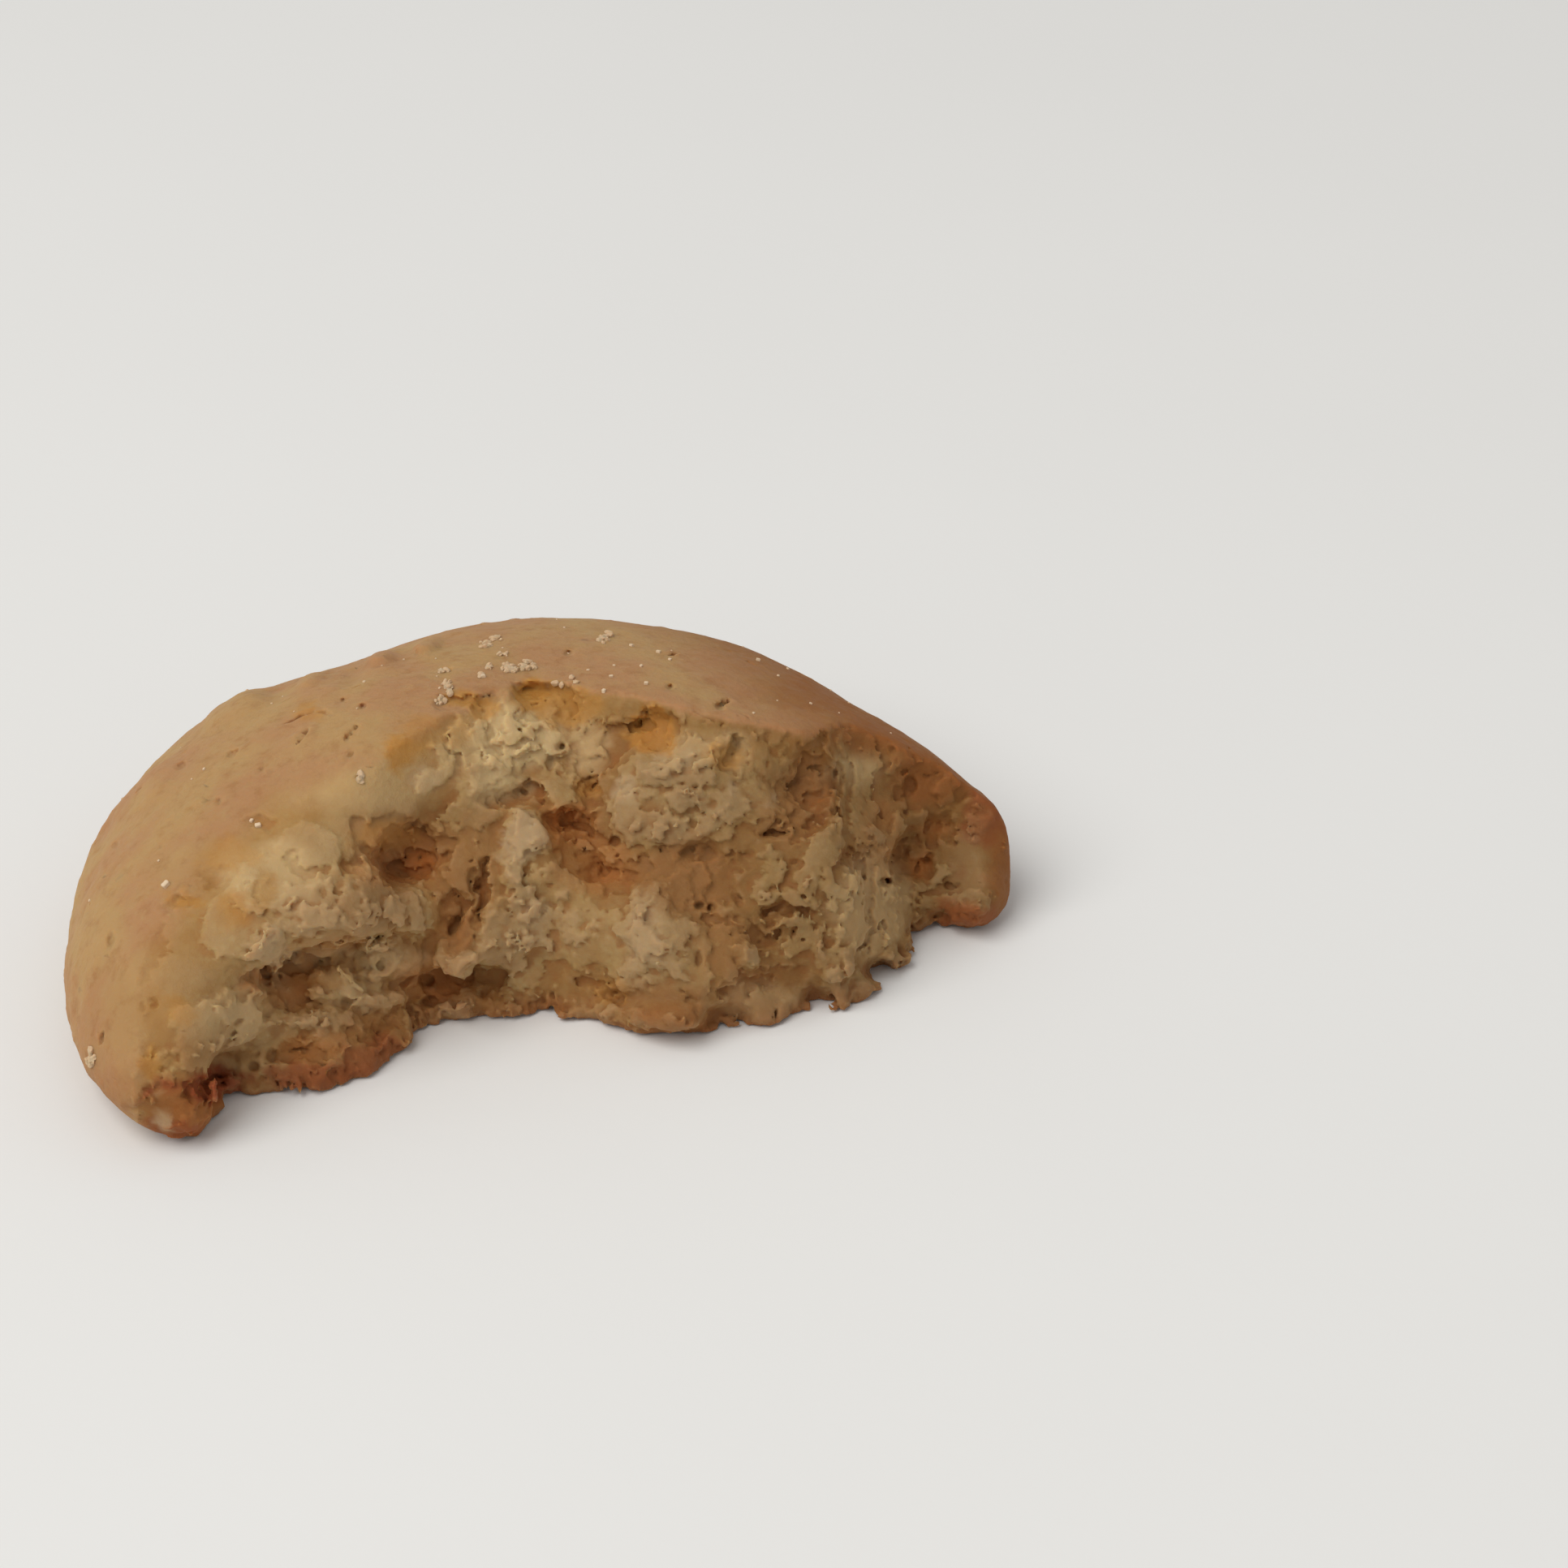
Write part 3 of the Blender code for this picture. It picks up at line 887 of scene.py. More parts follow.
class Dome:
    """The crust: a round dome, times a map of how far the real one departs from it."""

    # The map's steps and its lowest elevation, in degrees
    STEP = 1.5
    LOWEST = -9.0
    # What tells the crust from the break and the base: share, height and likeness of direction
    DEPARTS_MOST = 0.06
    OFF_FLOOR = 0.02
    FACES_ALIKE = 0.93
    SPREAD_ROUNDS = 160
    BLUR_ROUNDS = 2

    def __init__(self, tree):
        self.centre = AXIS + np.array((0.0, 0.0, WAIST))
        azimuths = np.arange(0.0, 360.0, self.STEP)
        elevations = np.arange(self.LOWEST, 90.0 + self.STEP, self.STEP)
        ratio = np.ones((len(azimuths), len(elevations)))
        known = np.zeros(ratio.shape, bool)
        for i, azimuth in enumerate(azimuths):
            for j, elevation in enumerate(elevations):
                ray = outward(radians(azimuth), radians(elevation))
                place, normal, distance = cast(tree, self.centre, ray)
                if place is None:
                    continue
                share = distance / float(self.plain_reach(ray[None])[0])
                on_crust = abs(share - 1.0) < self.DEPARTS_MOST and place.z > self.OFF_FLOOR
                if on_crust and normal.dot(Vector(self.plain_normal(ray))) > self.FACES_ALIKE:
                    ratio[i, j] = share
                    known[i, j] = True
        ratio = spread_known(ratio, known, self.SPREAD_ROUNDS, wrap=True)
        # Cells that nothing has spread to keep the plain dome
        ratio[ratio == 0.0] = 1.0
        ratio = blur_map(ratio, self.BLUR_ROUNDS, wrap=True)
        self.ratio = np.vstack((ratio, ratio[:1])).astype(REAL)

    @staticmethod
    def plain_reach(ray):
        height = np.where(ray[:, 2] > 0.0, HEIGHT - WAIST, UNDERCUT_DEPTH)
        across = np.hypot(ray[:, 0], ray[:, 1]) / RADIUS
        upright = np.abs(ray[:, 2]) / height
        return (across ** DOME_POWER + upright ** DOME_POWER) ** (-1.0 / DOME_POWER)

    @staticmethod
    def plain_normal(ray):
        height = HEIGHT - WAIST if ray[2] > 0.0 else UNDERCUT_DEPTH
        flat = hypot(ray[0], ray[1])
        across = (flat / RADIUS) ** (DOME_POWER - 1.0) / RADIUS
        upright = (abs(ray[2]) / height) ** (DOME_POWER - 1.0) / height
        out = across / max(flat, 1e-6)
        normal = np.array((ray[0] * out, ray[1] * out, upright if ray[2] > 0.0 else -upright))
        return normal / np.linalg.norm(normal)

    def depth(self, points):
        """How deep each point lies under the crust."""
        away = points - self.centre.astype(REAL)
        flat = np.hypot(away[:, 0], away[:, 1])
        length = np.maximum(np.hypot(flat, away[:, 2]), 1e-3)
        azimuth = np.degrees(np.arctan2(away[:, 1], away[:, 0])) % 360.0
        elevation = np.degrees(np.arctan2(away[:, 2], flat))
        u = azimuth / self.STEP
        v = (elevation - self.LOWEST) / self.STEP
        reach = self.plain_reach(away / length[:, None]) * read_map(self.ratio, u, v)
        return reach - length


class Break:
    """The broken face: its place across Y, as a map over X and Z in millimetres."""

    STEP = 0.25
    MARGIN = 1.0
    ROOM_ABOVE = 1.5
    START_Y = -80.0
    # What tells the break from the crust and the base
    UNDER_CRUST = 0.15
    OFF_FLOOR = 0.05
    SPREAD_ROUNDS = 120
    BLUR_ROUNDS = 6
    STEEP_BLUR_ROUNDS = 2

    def __init__(self, tree, dome):
        self.x0 = -RADIUS - self.MARGIN
        self.z0 = -self.MARGIN
        xs = np.arange(self.x0, RADIUS + self.MARGIN, self.STEP)
        zs = np.arange(self.z0, HEIGHT + self.ROOM_ABOVE, self.STEP)
        place_y = np.zeros((len(xs), len(zs)))
        known = np.zeros(place_y.shape, bool)
        for i, x in enumerate(xs):
            for j, z in enumerate(zs):
                place, _, _ = cast(tree, (x, self.START_Y, z), (0.0, 1.0, 0.0))
                if place is None or z < self.OFF_FLOOR:
                    continue
                if float(dome.depth(np.array([place], REAL))[0]) > self.UNDER_CRUST:
                    place_y[i, j] = place.y
                    known[i, j] = True
        place_y = spread_known(place_y, known, self.SPREAD_ROUNDS, wrap=False)
        self.place_y = blur_map(place_y, self.BLUR_ROUNDS, wrap=False).astype(REAL)
        slope_x, slope_z = np.gradient(self.place_y, self.STEP)
        steep = np.sqrt(1.0 + slope_x ** 2 + slope_z ** 2)
        self.steep = blur_map(steep, self.STEEP_BLUR_ROUNDS, wrap=False).astype(REAL)

    def in_front(self, x, y, z):
        """How far each place lies in front of the face; behind it is negative."""
        u = (x - self.x0) / self.STEP
        v = (z - self.z0) / self.STEP
        return (read_map(self.place_y, u, v) - y) / read_map(self.steep, u, v)


# --- Patches and cracks ---


class Patch:
    """An oval patch of the surface, as the camera sees it."""

    def __init__(self, view, tree, row, least_reach):
        column, line, half_width, half_height, self.amount = row
        self.middle, pixel = view.hit(tree, column, line)
        self.half_width = half_width * pixel
        self.half_height = half_height * pixel
        self.reach = max(self.half_width, self.half_height, least_reach)

    def near(self, points):
        away = np.abs(points - self.middle.astype(REAL))
        return np.flatnonzero((away < self.reach + PATCH_MARGIN).all(axis=1))

    def size(self, view, points):
        """0 in the middle of the patch, 1 at its outline and more outside."""
        away = points - self.middle.astype(REAL)
        a = away @ view.right.astype(REAL) / self.half_width
        b = away @ view.up.astype(REAL) / self.half_height
        deep = np.maximum(np.abs(away @ view.ahead.astype(REAL)) - self.reach, 0.0)
        return np.sqrt(a * a + b * b + deep * deep)


class Marks:
    """The named patches and cracks, put on the surface that their pixels show."""

    def __init__(self, view, tree):
        self.view = view
        self.patches = {}
        for kind, table in PATCH_TABLES.items():
            least_reach = SWELL_REACH if kind == "swells" else FEATURE_REACH
            self.patches[kind] = [Patch(view, tree, row, least_reach) for row in table.values()]
        self.cracks = self.hidden_cracks(tree)
        for column0, row0, column1, row1, width, depth in CRACKS.values():
            ends = [view.hit(tree, *pixel)[0] for pixel in ((column0, row0), (column1, row1))]
            self.cracks.append((*ends, width, depth))

    @staticmethod
    def hidden_cracks(tree):
        """Short cracks at random on the side of the crust that the photograph doesn't show."""
        draw = np.random.default_rng(SEEDS["hidden cracks"])
        cracks = []
        for _ in range(HIDDEN_CRACKS):
            azimuth = radians(draw.uniform(*HIDDEN_AZIMUTHS))
            elevation = radians(draw.uniform(*HIDDEN_ELEVATIONS))
            turn = draw.uniform(-HIDDEN_TURN, HIDDEN_TURN, 2)
            ends = []
            for a, e in ((azimuth, elevation), (azimuth + turn[0], elevation + turn[1])):
                ray = Vector(outward(a, e))
                place, _, _ = cast(tree, Vector(AXIS) + FAR_OUT * ray, -ray)
                ends.append(np.array(place))
            cracks.append((*ends, draw.uniform(*HIDDEN_WIDTHS), draw.uniform(*HIDDEN_DEPTHS)))
        return cracks

    def summed(self, kind, points):
        """The sum of the patches' amounts, each of which fades out across its outline."""
        soft = SOFTNESS[kind]
        total = np.zeros(len(points), REAL)
        for patch in self.patches[kind]:
            near = patch.near(points)
            size = patch.size(self.view, points[near])
            total[near] += patch.amount * smooth_step(1.0 + soft, 1.0 - soft, size)
        return total

    def strongest(self, kind, points, ragged, edge):
        """The strongest patch's amount, with outlines as ragged as asked, in millimetres."""
        total = np.zeros(len(points), REAL)
        for patch in self.patches[kind]:
            near = patch.near(points)
            narrow = min(patch.half_width, patch.half_height)
            inside = (1.0 - patch.size(self.view, points[near])) * narrow + ragged[near]
            amount = patch.amount * smooth_step(-edge, edge, inside)
            total[near] = np.maximum(total[near], amount)
        return total


# --- Relief ---


def crumb_relief(points, under, marks):
    """How far the crumb stands out of the smooth break, and at which level it is."""
    noise = Noise(SEEDS["crumb"])
    moved = points + warp(noise, points, *CRUMB_BEND)
    plates, _ = noise.cells(moved, PLATE_CELLS)
    lobes, _ = noise.cells(moved + REAL(LOBE_SHIFT), LOBE_CELLS)
    crinkle, _ = noise.cells(points + REAL(CRINKLE_SHIFT), CRINKLE_CELLS)
    frayed = noise.fractal(points + REAL(RAGGED_SHIFT), *CRUMB_RAGGED)
    ragged = RAGGED_LEVELS * frayed + CRINKLE_LEVELS * (0.5 - crinkle)
    lively = smooth_step(*LIVELY_DEPTHS, under) * (1.0 - marks.summed("calms", points))
    swell = SWELL_LEVELS * noise.fractal(moved, *CRUMB_SWELL)
    own = swell + PLATE_LEVELS * (0.5 - plates) + LOBE_LEVELS * (0.5 - lobes)
    height = marks.summed("levels", moved) + own * lively + ragged * at_least(LEAST_RAGGED, lively)
    height *= smooth_step(*LEVEL_DEPTHS, under)
    relief = np.full(len(points), -DEEPEST, REAL)
    for level, rise in TERRACES:
        relief += rise * smooth_step(level - TERRACE_EDGE, level + TERRACE_EDGE, height)
    slope = TERRACE_SLOPE * np.clip(height, -HEIGHT_MOST, HEIGHT_MOST)
    relief += slope + PLATE_DOME * lively * (0.5 - plates)
    foot = smooth_step(*FOOT_HEIGHTS, points[:, 2])
    relief = np.where(relief < 0.0, relief * (1.0 - FOOT_FLATTER * foot), relief)
    teeth = noise.fractal(points + REAL(TOOTH_SHIFT), *FOOT_TEETH)
    relief += TOOTH_HEIGHT * foot * at_least(LEAST_TOOTH, lively) * teeth
    return relief + marks.summed("swells", points), height


def crumb_grain(points, marks):
    """The small bumps and pinpricks on the crumb, in millimetres."""
    noise = Noise(SEEDS["crumb grain"])
    moved = points + warp(noise, points, *GRAIN_BEND)
    small, _ = noise.cells(moved, SMALL_CELLS)
    fine, _ = noise.cells(moved + REAL(FINE_SHIFT), FINE_CELLS)
    bumps = SMALL_BUMPS * (0.5 - small) + FINE_BUMPS * (0.5 - fine)
    bumps *= 1.0 - CALM_SHARE * marks.summed("calms", points)
    return bumps - marks.strongest("pinpricks", points, PINPRICK_RAGGED * bumps, PINPRICK_EDGE)


def crack_relief(points, marks, narrow=1.0):
    """How deep the cracks cut in, and how far the torn crust beside them stands up."""
    noise = Noise(SEEDS["cracks"])
    moved = points + warp(noise, points, *CRACK_BEND)
    cuts = np.zeros(len(points), REAL)
    lips = np.zeros(len(points), REAL)
    for start, end, width, depth in marks.cracks:
        start = start.astype(REAL)
        along = end.astype(REAL) - start
        length = np.linalg.norm(along)
        near = np.flatnonzero(np.linalg.norm(points - start, axis=1) < length + CRACK_MARGIN)
        t = np.clip((moved[near] - start) @ along / length ** 2, 0.0, 1.0)
        gap = np.linalg.norm(moved[near] - start - t[:, None] * along, axis=1) / (width * narrow)
        taper = np.sqrt(np.clip(4.0 * t * (1.0 - t), LEAST_TAPER, 1.0))
        cuts[near] = np.maximum(cuts[near], depth * taper * np.exp(-(gap / taper) ** 2))
        lip = CRACK_LIP * taper * np.exp(-((gap - LIP_PLACE) / LIP_WIDTH) ** 2)
        lips[near] = np.maximum(lips[near], lip)
    return cuts, lips


def crust_relief(points, marks):
    """How far the crust stands out of the smooth dome."""
    noise = Noise(SEEDS["crust"])
    relief = CRUST_SWELL_HEIGHT * noise.fractal(points, *CRUST_SWELL)
    relief += PEBBLE_HEIGHT * noise.fractal(points, *CRUST_PEBBLE)
    near, draw = noise.cells(points + warp(noise, points, *PINHOLE_BEND), PINHOLE_CELLS)
    larger = np.clip((draw - PINHOLE_FROM) / (1.0 - PINHOLE_FROM), 0.0, 1.0)
    holes = smooth_step(*PINHOLE_RIM, near / (PINHOLE_LEAST + PINHOLE_MORE * larger))
    holes = PINHOLE_DEPTH * holes * (draw > PINHOLE_FROM)
    ragged = RAGGED_WIDTH * noise.fractal(points, *CHIP_RAGGED)
    missing = marks.strongest("chips", points, CHIP_RAGGED_SHARE * ragged, CHIP_EDGE)
    missing += marks.strongest("pinholes", points, PINHOLE_RAGGED_SHARE * ragged, PINHOLE_EDGE)
    cuts, lips = crack_relief(points, marks)
    relief += marks.summed("swells", points)
    return relief + lips - missing - holes - CRACK_TROUGH * cuts


def base_pits(points):
    """How far the underside lies back from the plane that it rests on."""
    noise = Noise(SEEDS["base"])
    near, draw = noise.cells(points + warp(noise, points, *PIT_BEND), PIT_CELLS)
    pits = PIT_DEPTH * smooth_step(*PIT_RIM, near) * (draw > PIT_FROM)
    return pits + WAVE_HEIGHT * (1.0 + noise.fractal(points, *BASE_WAVE)) * 0.5


# --- The grid and its surface ---


def doubled(values):
    """The same field on a grid with twice as many steps."""
    for axis in range(3):
        values = np.moveaxis(values, axis, 0)
        finer = np.empty((2 * len(values) - 1,) + values.shape[1:], REAL)
        finer[::2] = values
        finer[1::2] = 0.5 * (values[:-1] + values[1:])
        values = np.moveaxis(finer, 0, axis)
    return values


def flooded(seed, room):
    """The part of the room that can be reached from the seed."""
    reached = seed & room
    for _ in range(FLOOD_ROUNDS):
        grown = reached.copy()
        for axis in range(3):
            ahead = np.moveaxis(grown, axis, 0)
            was = np.moveaxis(reached, axis, 0)
            ahead[1:] |= was[:-1]
            ahead[:-1] |= was[1:]
        grown &= room
        if grown.sum() == reached.sum():
            break
        reached = grown
    return reached


def without_islands(field):
    """Leaves out loose islands and shut bubbles."""
    dough = flooded(field < DOUGH_START, field < 0.0)
    field = np.where(dough, field, np.abs(field) + REAL(FLIPPED))
    # The lowest layer is a seed too: the air under the base is too thin to hold one by its depth
    outside = field > AIR_START
    outside[:, :, 0] = True
    air = flooded(outside, field >= 0.0)
    return np.where(air, field, -np.abs(field) - REAL(FLIPPED))


def half_field(dome, face, marks):
    """A grid of how far each place is outside the biscuit, and the grid's lowest corner."""
    low = np.array((CAD_LOW.x, CAD_LOW.y, CAD_LOW.z)) / MM - GRID_MARGIN * GRID_STEP
    high = np.array((CAD_HIGH.x, CAD_HIGH.y, CAD_HIGH.z)) / MM + GRID_MARGIN * GRID_STEP
    low[1] -= FRONT_ROOM
    half_counts = np.ceil((high - low) / (2.0 * GRID_STEP)).astype(int) + 1
    coarse = [low[n] + 2.0 * GRID_STEP * np.arange(half_counts[n]) for n in range(3)]
    spots = np.stack(np.meshgrid(*coarse, indexing="ij"), axis=-1).reshape(-1, 3).astype(REAL)
    depth = doubled(dome.depth(spots).astype(REAL).reshape(half_counts))
    xs, ys, zs = (low[n] + GRID_STEP * np.arange(depth.shape[n]) for n in range(3))
    flat_x, flat_z = (g.ravel() for g in np.meshgrid(xs, zs, indexing="ij"))
    # Across Y the distance from the break grows evenly, so that two layers give them all
    zero, one = (face.in_front(flat_x, y, flat_z).reshape(len(xs), 1, len(zs)) for y in (0.0, 1.0))
    front = (zero + (one - zero) * ys[None, :, None]).astype(REAL)
    above = (zs > PAST_BASE)[None, None, :]

    def spots_of(mask):
        i, j, k = np.nonzero(mask)
        return np.stack((xs[i], ys[j], zs[k]), axis=1).astype(REAL)

    on_break = (front > BREAK_BAND[0]) & (front < BREAK_BAND[1]) & (depth > PAST_CRUST) & above
    relief, _ = crumb_relief(spots_of(on_break), depth[on_break], marks)
    front[on_break] -= relief
    skin = on_break & (np.abs(front) < GRAIN_BAND)
    front[skin] -= crumb_grain(spots_of(skin), marks)
    on_crust = (np.abs(depth) < CRUST_BAND) & (front < PAST_BREAK) & above
    depth[on_crust] += crust_relief(spots_of(on_crust), marks)
    under = np.broadcast_to(-zs[None, None, :].astype(REAL), depth.shape).copy()
    on_base = (np.abs(under) < BASE_BAND) & (depth > PAST_CRUST) & (front < PAST_BREAK)
    under[on_base] += base_pits(spots_of(on_base))

    shoulder = smooth_step(*SHOULDER_X, xs)[:, None, None] * smooth_step(*SHOULDER_Z, zs)[None, None, :]
    edge = (BREAK_EDGE + SHOULDER_EDGE * shoulder).astype(REAL)
    field = smooth_max(front, -depth, edge)
    return without_islands(smooth_max(field, under, REAL(BASE_EDGE))), low


def surface(field, low):
    """The corners and triangles of the field's surface."""
    grid = openvdb.FloatGrid(FIELD_MOST)
    grid.copyFromArray(np.ascontiguousarray(np.clip(field, -FIELD_MOST, FIELD_MOST), REAL))
    places, triangles, quads = grid.convertToPolygons(isovalue=0.0, adaptivity=ADAPTIVITY)
    places = np.asarray(places, float) * GRID_STEP + low
    quads = np.asarray(quads, np.int64)
    triangles = np.asarray(triangles, np.int64).reshape(-1, 3)
    halves = np.vstack((quads[:, (0, 1, 2)], quads[:, (0, 2, 3)]))
    return places, np.vstack((triangles, halves))


def mesh_from(name, places, faces):
    """A mesh of triangles, from places in millimetres."""
    mesh = bpy.data.meshes.new(name)
    mesh.vertices.add(len(places))
    mesh.vertices.foreach_set("co", (places * MM).astype(REAL).ravel())
    mesh.loops.add(faces.size)
    mesh.loops.foreach_set("vertex_index", faces.astype(np.int32).ravel())
    mesh.polygons.add(len(faces))
    mesh.polygons.foreach_set("loop_start", 3 * np.arange(len(faces), dtype=np.int32))
    mesh.polygons.foreach_set("use_smooth", np.ones(len(faces), bool))
    mesh.update(calc_edges=True)
    mesh.validate()
    return mesh


def placed(name, data):
    """A new object in the scene."""
    made = bpy.data.objects.new(name, data)
    bpy.context.scene.collection.objects.link(made)
    return made


def thinned(made, triangles_most):
    """Takes out faces where the surface is nearly flat."""
    thin = made.modifiers.new("thin", "DECIMATE")
    thin.ratio = min(1.0, triangles_most / len(made.data.polygons))
    thin.use_collapse_triangulate = True
    graph = bpy.context.evaluated_depsgraph_get()
    mesh = bpy.data.meshes.new_from_object(made.evaluated_get(graph))
    made.modifiers.clear()
    made.data = mesh


# --- Masks for the material, and the cracks ---

# What each plain mask measures is in tint_masks: here are the values from which it comes in and
# at which it is full
MASK_STEPS = {
    "near_crust": (3.2, 0.6),
    # Towards the right end the crust is painted browner: partly real baking, partly painted shade and
    # red reflection of the other half that leaned there
    "right": (4.0, 27.0),
    # Towards the right the crumb is painted darker: painted shade of the other half that leaned there
    "shade_right": (-8.0, 20.0),
    "base": (1.6, 0.5),
    "underside": (0.45, 0.1),
}
CRISP_TINTS = ("amber", "pale", "scorched")
SOFT_TINTS = ("browned", "brown", "tan", "bright")

# How deep under the surface the crust's colour reaches, and where in that it gives way
CRUST_THICK = 0.55
CRUST_VARIES = (2.2, 0.35)
CRUST_THICKER_LEFT = 0.9
LEFT_END = (-6.0, -20.0)
CRUST_ENDS = (1.0, 0.25)
TINT_RAGGED_WIDTH = 0.35
BASE_TINT_WIDTH = 0.5

# How the mask "stands" follows the crumb's height: in steps of half a level and evenly
STEPS_PER_LEVEL = 2.0
STEPPED_SHARE = 0.8
EVEN_SHARE = 0.2
LEVELS_IN_ALL = 4.5
CALM_STANDS = 0.06

CREASE_GAIN = 2.0
CREASE_ROUNDS = 3
CRACK_TINT_GAIN = 5.0


def read_corners(mesh, what):
    flat = np.empty(len(mesh.vertices) * 3, REAL)
    mesh.vertices.foreach_get(what, flat)
    return flat.reshape(-1, 3)


def places_of(mesh):
    return read_corners(mesh, "co") / REAL(MM)


def paint(mesh, name, values):
    layer = mesh.attributes.new(name, "FLOAT", "POINT")
    layer.data.foreach_set("value", np.clip(values, 0.0, 1.0).astype(REAL))


def creases(mesh, points):
    """How deep each point lies between its neighbours: above 0 in creases, below 0 on ridges."""
    ends = np.empty(len(mesh.edges) * 2, np.int32)
    mesh.edges.foreach_get("vertices", ends)
    first, second = ends.reshape(-1, 2).T
    count = np.bincount(first, minlength=len(points)) + np.bincount(second, minlength=len(points))
    count = np.maximum(count, 1)

    def around(values):
        """The mean of the neighbours' values."""
        total = np.bincount(first, values[second], len(points))
        return (total + np.bincount(second, values[first], len(points))) / count

    middle = np.stack([around(points[:, n]) for n in range(3)], axis=1)
    deep = ((middle - points) * read_corners(mesh, "normal")).sum(axis=1) / GRID_STEP
    for _ in range(CREASE_ROUNDS):
        deep = 0.5 * deep + 0.5 * around(deep)
    return CREASE_GAIN * deep


def crusted(noise, points, under, chipped):
    """How far the crust's colour covers each point."""
    size, more = CRUST_VARIES
    left = smooth_step(*LEFT_END, points[:, 0])
    reach = CRUST_THICK + more * noise.smooth(points, size) + CRUST_THICKER_LEFT * left
    return smooth_step(*CRUST_ENDS, (under + chipped) / reach)


def tint_masks(mesh, dome, marks):
    """How browned, hollow and pale each part is, for the material to mix its colours by, painted shade
    and painted light among them.
    """
    points = places_of(mesh)
    x, _, z = points.T
    noise = Noise(SEEDS["tints"])
    ragged = TINT_RAGGED_WIDTH * noise.fractal(points, *TINT_RAGGED)
    under = dome.depth(points) + crust_relief(points, marks)
    chipped = marks.strongest("chips", points, ragged, CHIP_TINT_EDGE)
    paint(mesh, "crusted", crusted(noise, points, under, chipped))
    _, height = crumb_relief(points, under, marks)
    step = np.round(height * STEPS_PER_LEVEL) / STEPS_PER_LEVEL
    mean = STEPPED_SHARE * step + EVEN_SHARE * height
    calms = marks.summed("calms", points)
    # The crumb's level, by which the material paints shade into the lower parts and light onto the
    # highest plates
    paint(mesh, "stands", 0.5 + mean / LEVELS_IN_ALL + CALM_STANDS * calms)
    ragged_z = z + BASE_TINT_WIDTH * noise.fractal(points, *BASE_TINT)
    measures = {"near_crust": under, "right": x, "shade_right": x, "base": ragged_z, "underside": z}
    for name, measure in measures.items():
        paint(mesh, name, smooth_step(*MASK_STEPS[name], measure))
    # The creases mask, by which the material paints shade into creases and highlights onto ridges
    paint(mesh, "creases", 0.5 + creases(mesh, points))
    for names, edge in ((CRISP_TINTS, CRISP_TINT_EDGE), (SOFT_TINTS, SOFT_TINT_EDGE)):
        for name in names:
            paint(mesh, name, marks.strongest(name, points, ragged, edge))
    # The cracks' mask, by which the material paints their dark amber and the shade in them
    paint(mesh, "cracks", CRACK_TINT_GAIN * crack_relief(points, marks, CRACK_NARROW)[0])


def finer_beside_cracks(mesh, marks):
    """Splits the edges beside the cracks, which are narrower than the grid's steps."""
    shape = bmesh.new()
    shape.from_mesh(mesh)
    for _ in range(FINER_ROUNDS):
        shape.verts.index_update()
        points = np.array([v.co[:] for v in shape.verts], REAL) / REAL(MM)
        beside = np.zeros(len(points), bool)
        for start, end, _, _ in marks.cracks:
            along = end - start
            t = np.clip((points - start) @ along / (along @ along), 0.0, 1.0)
            gap = np.linalg.norm(points - start - t[:, None] * along, axis=1)
            beside |= gap < CRACK_REACH
        edges = [e for e in shape.edges if beside[e.verts[0].index] or beside[e.verts[1].index]]
        bmesh.ops.subdivide_edges(shape, edges=edges, cuts=1, use_grid_fill=True)
        bmesh.ops.triangulate(shape, faces=[f for f in shape.faces if len(f.verts) > 3])
    shape.to_mesh(mesh)
    shape.free()


def cut_cracks(mesh, marks):
    """Moves the surface in along the cracks."""
    finer_beside_cracks(mesh, marks)
    points = places_of(mesh)
    cuts = CRACK_DEPTH * crack_relief(points, marks, CRACK_NARROW)[0]
    points -= read_corners(mesh, "normal") * cuts[:, None]
    mesh.vertices.foreach_set("co", (points * REAL(MM)).ravel())
    mesh.update()


def biscuit(dome, face, marks):
    places, faces = surface(*half_field(dome, face, marks))
    made = placed("biscuit_crumb", mesh_from("biscuit_crumb", places, faces))
    thinned(made, FACES_MOST)
    made.data.name = "biscuit_crumb"
    cut_cracks(made.data, marks)
    made.data.polygons.foreach_set("use_smooth", np.ones(len(made.data.polygons), bool))
    tint_masks(made.data, dome, marks)
    return made


# --- Loose crumbs and sugar grains on the crust ---

# Sizes in millimetres, shares of a grain's size and how much the grains differ
CRUMB_SIZES = (0.22, 0.42)
CRUMB_SHRINKS = (1.2, 0.4)
CRUMB_FLAT = 0.8
CRUMB_ROUGH = 0.45
CRUMB_ROUNDS = 2
SUGAR_COUNT = 60
SUGAR_SIZES = (0.07, 0.14)
SUGAR_FLAT = 0.9
SUGAR_ROUGH = 0.12
SUGAR_BEVEL = 0.25
SUGAR_LOWEST = 0.05
SUGAR_OFF_CRUST = 0.5
GRAIN_STRETCH = (0.75, 1.25)
GRAIN_FLATTER = (0.8, 1.2)
GRAIN_FORMS = 1.3
GRAIN_OCTAVES = 3
GRAIN_GAIN = 0.6
SUNK = 0.35


def corners_and_faces(shape):
    corners = np.array([v.co[:] for v in shape.verts])
    faces = np.array([[v.index for v in f.verts] for f in shape.faces])
    shape.free()
    return corners, faces


def ball():
    """A ball of radius 1 made of triangles."""
    shape = bmesh.new()
    bmesh.ops.create_icosphere(shape, subdivisions=CRUMB_ROUNDS, radius=1.0)
    return corners_and_faces(shape)


def block():
    """A cube with edges of 2, bevelled and made of triangles."""
    shape = bmesh.new()
    bmesh.ops.create_cube(shape, size=2.0)
    bmesh.ops.bevel(shape, geom=shape.edges, offset=SUGAR_BEVEL, segments=1, affect="EDGES")
    bmesh.ops.triangulate(shape, faces=shape.faces)
    return corners_and_faces(shape)


def resting_turn(out, draw):
    """The matrix of a random turn about the way out of the surface."""
    side = np.cross(out, draw.normal(size=3))
    side /= np.linalg.norm(side)
    return np.stack((side, np.cross(out, side), out), axis=1)


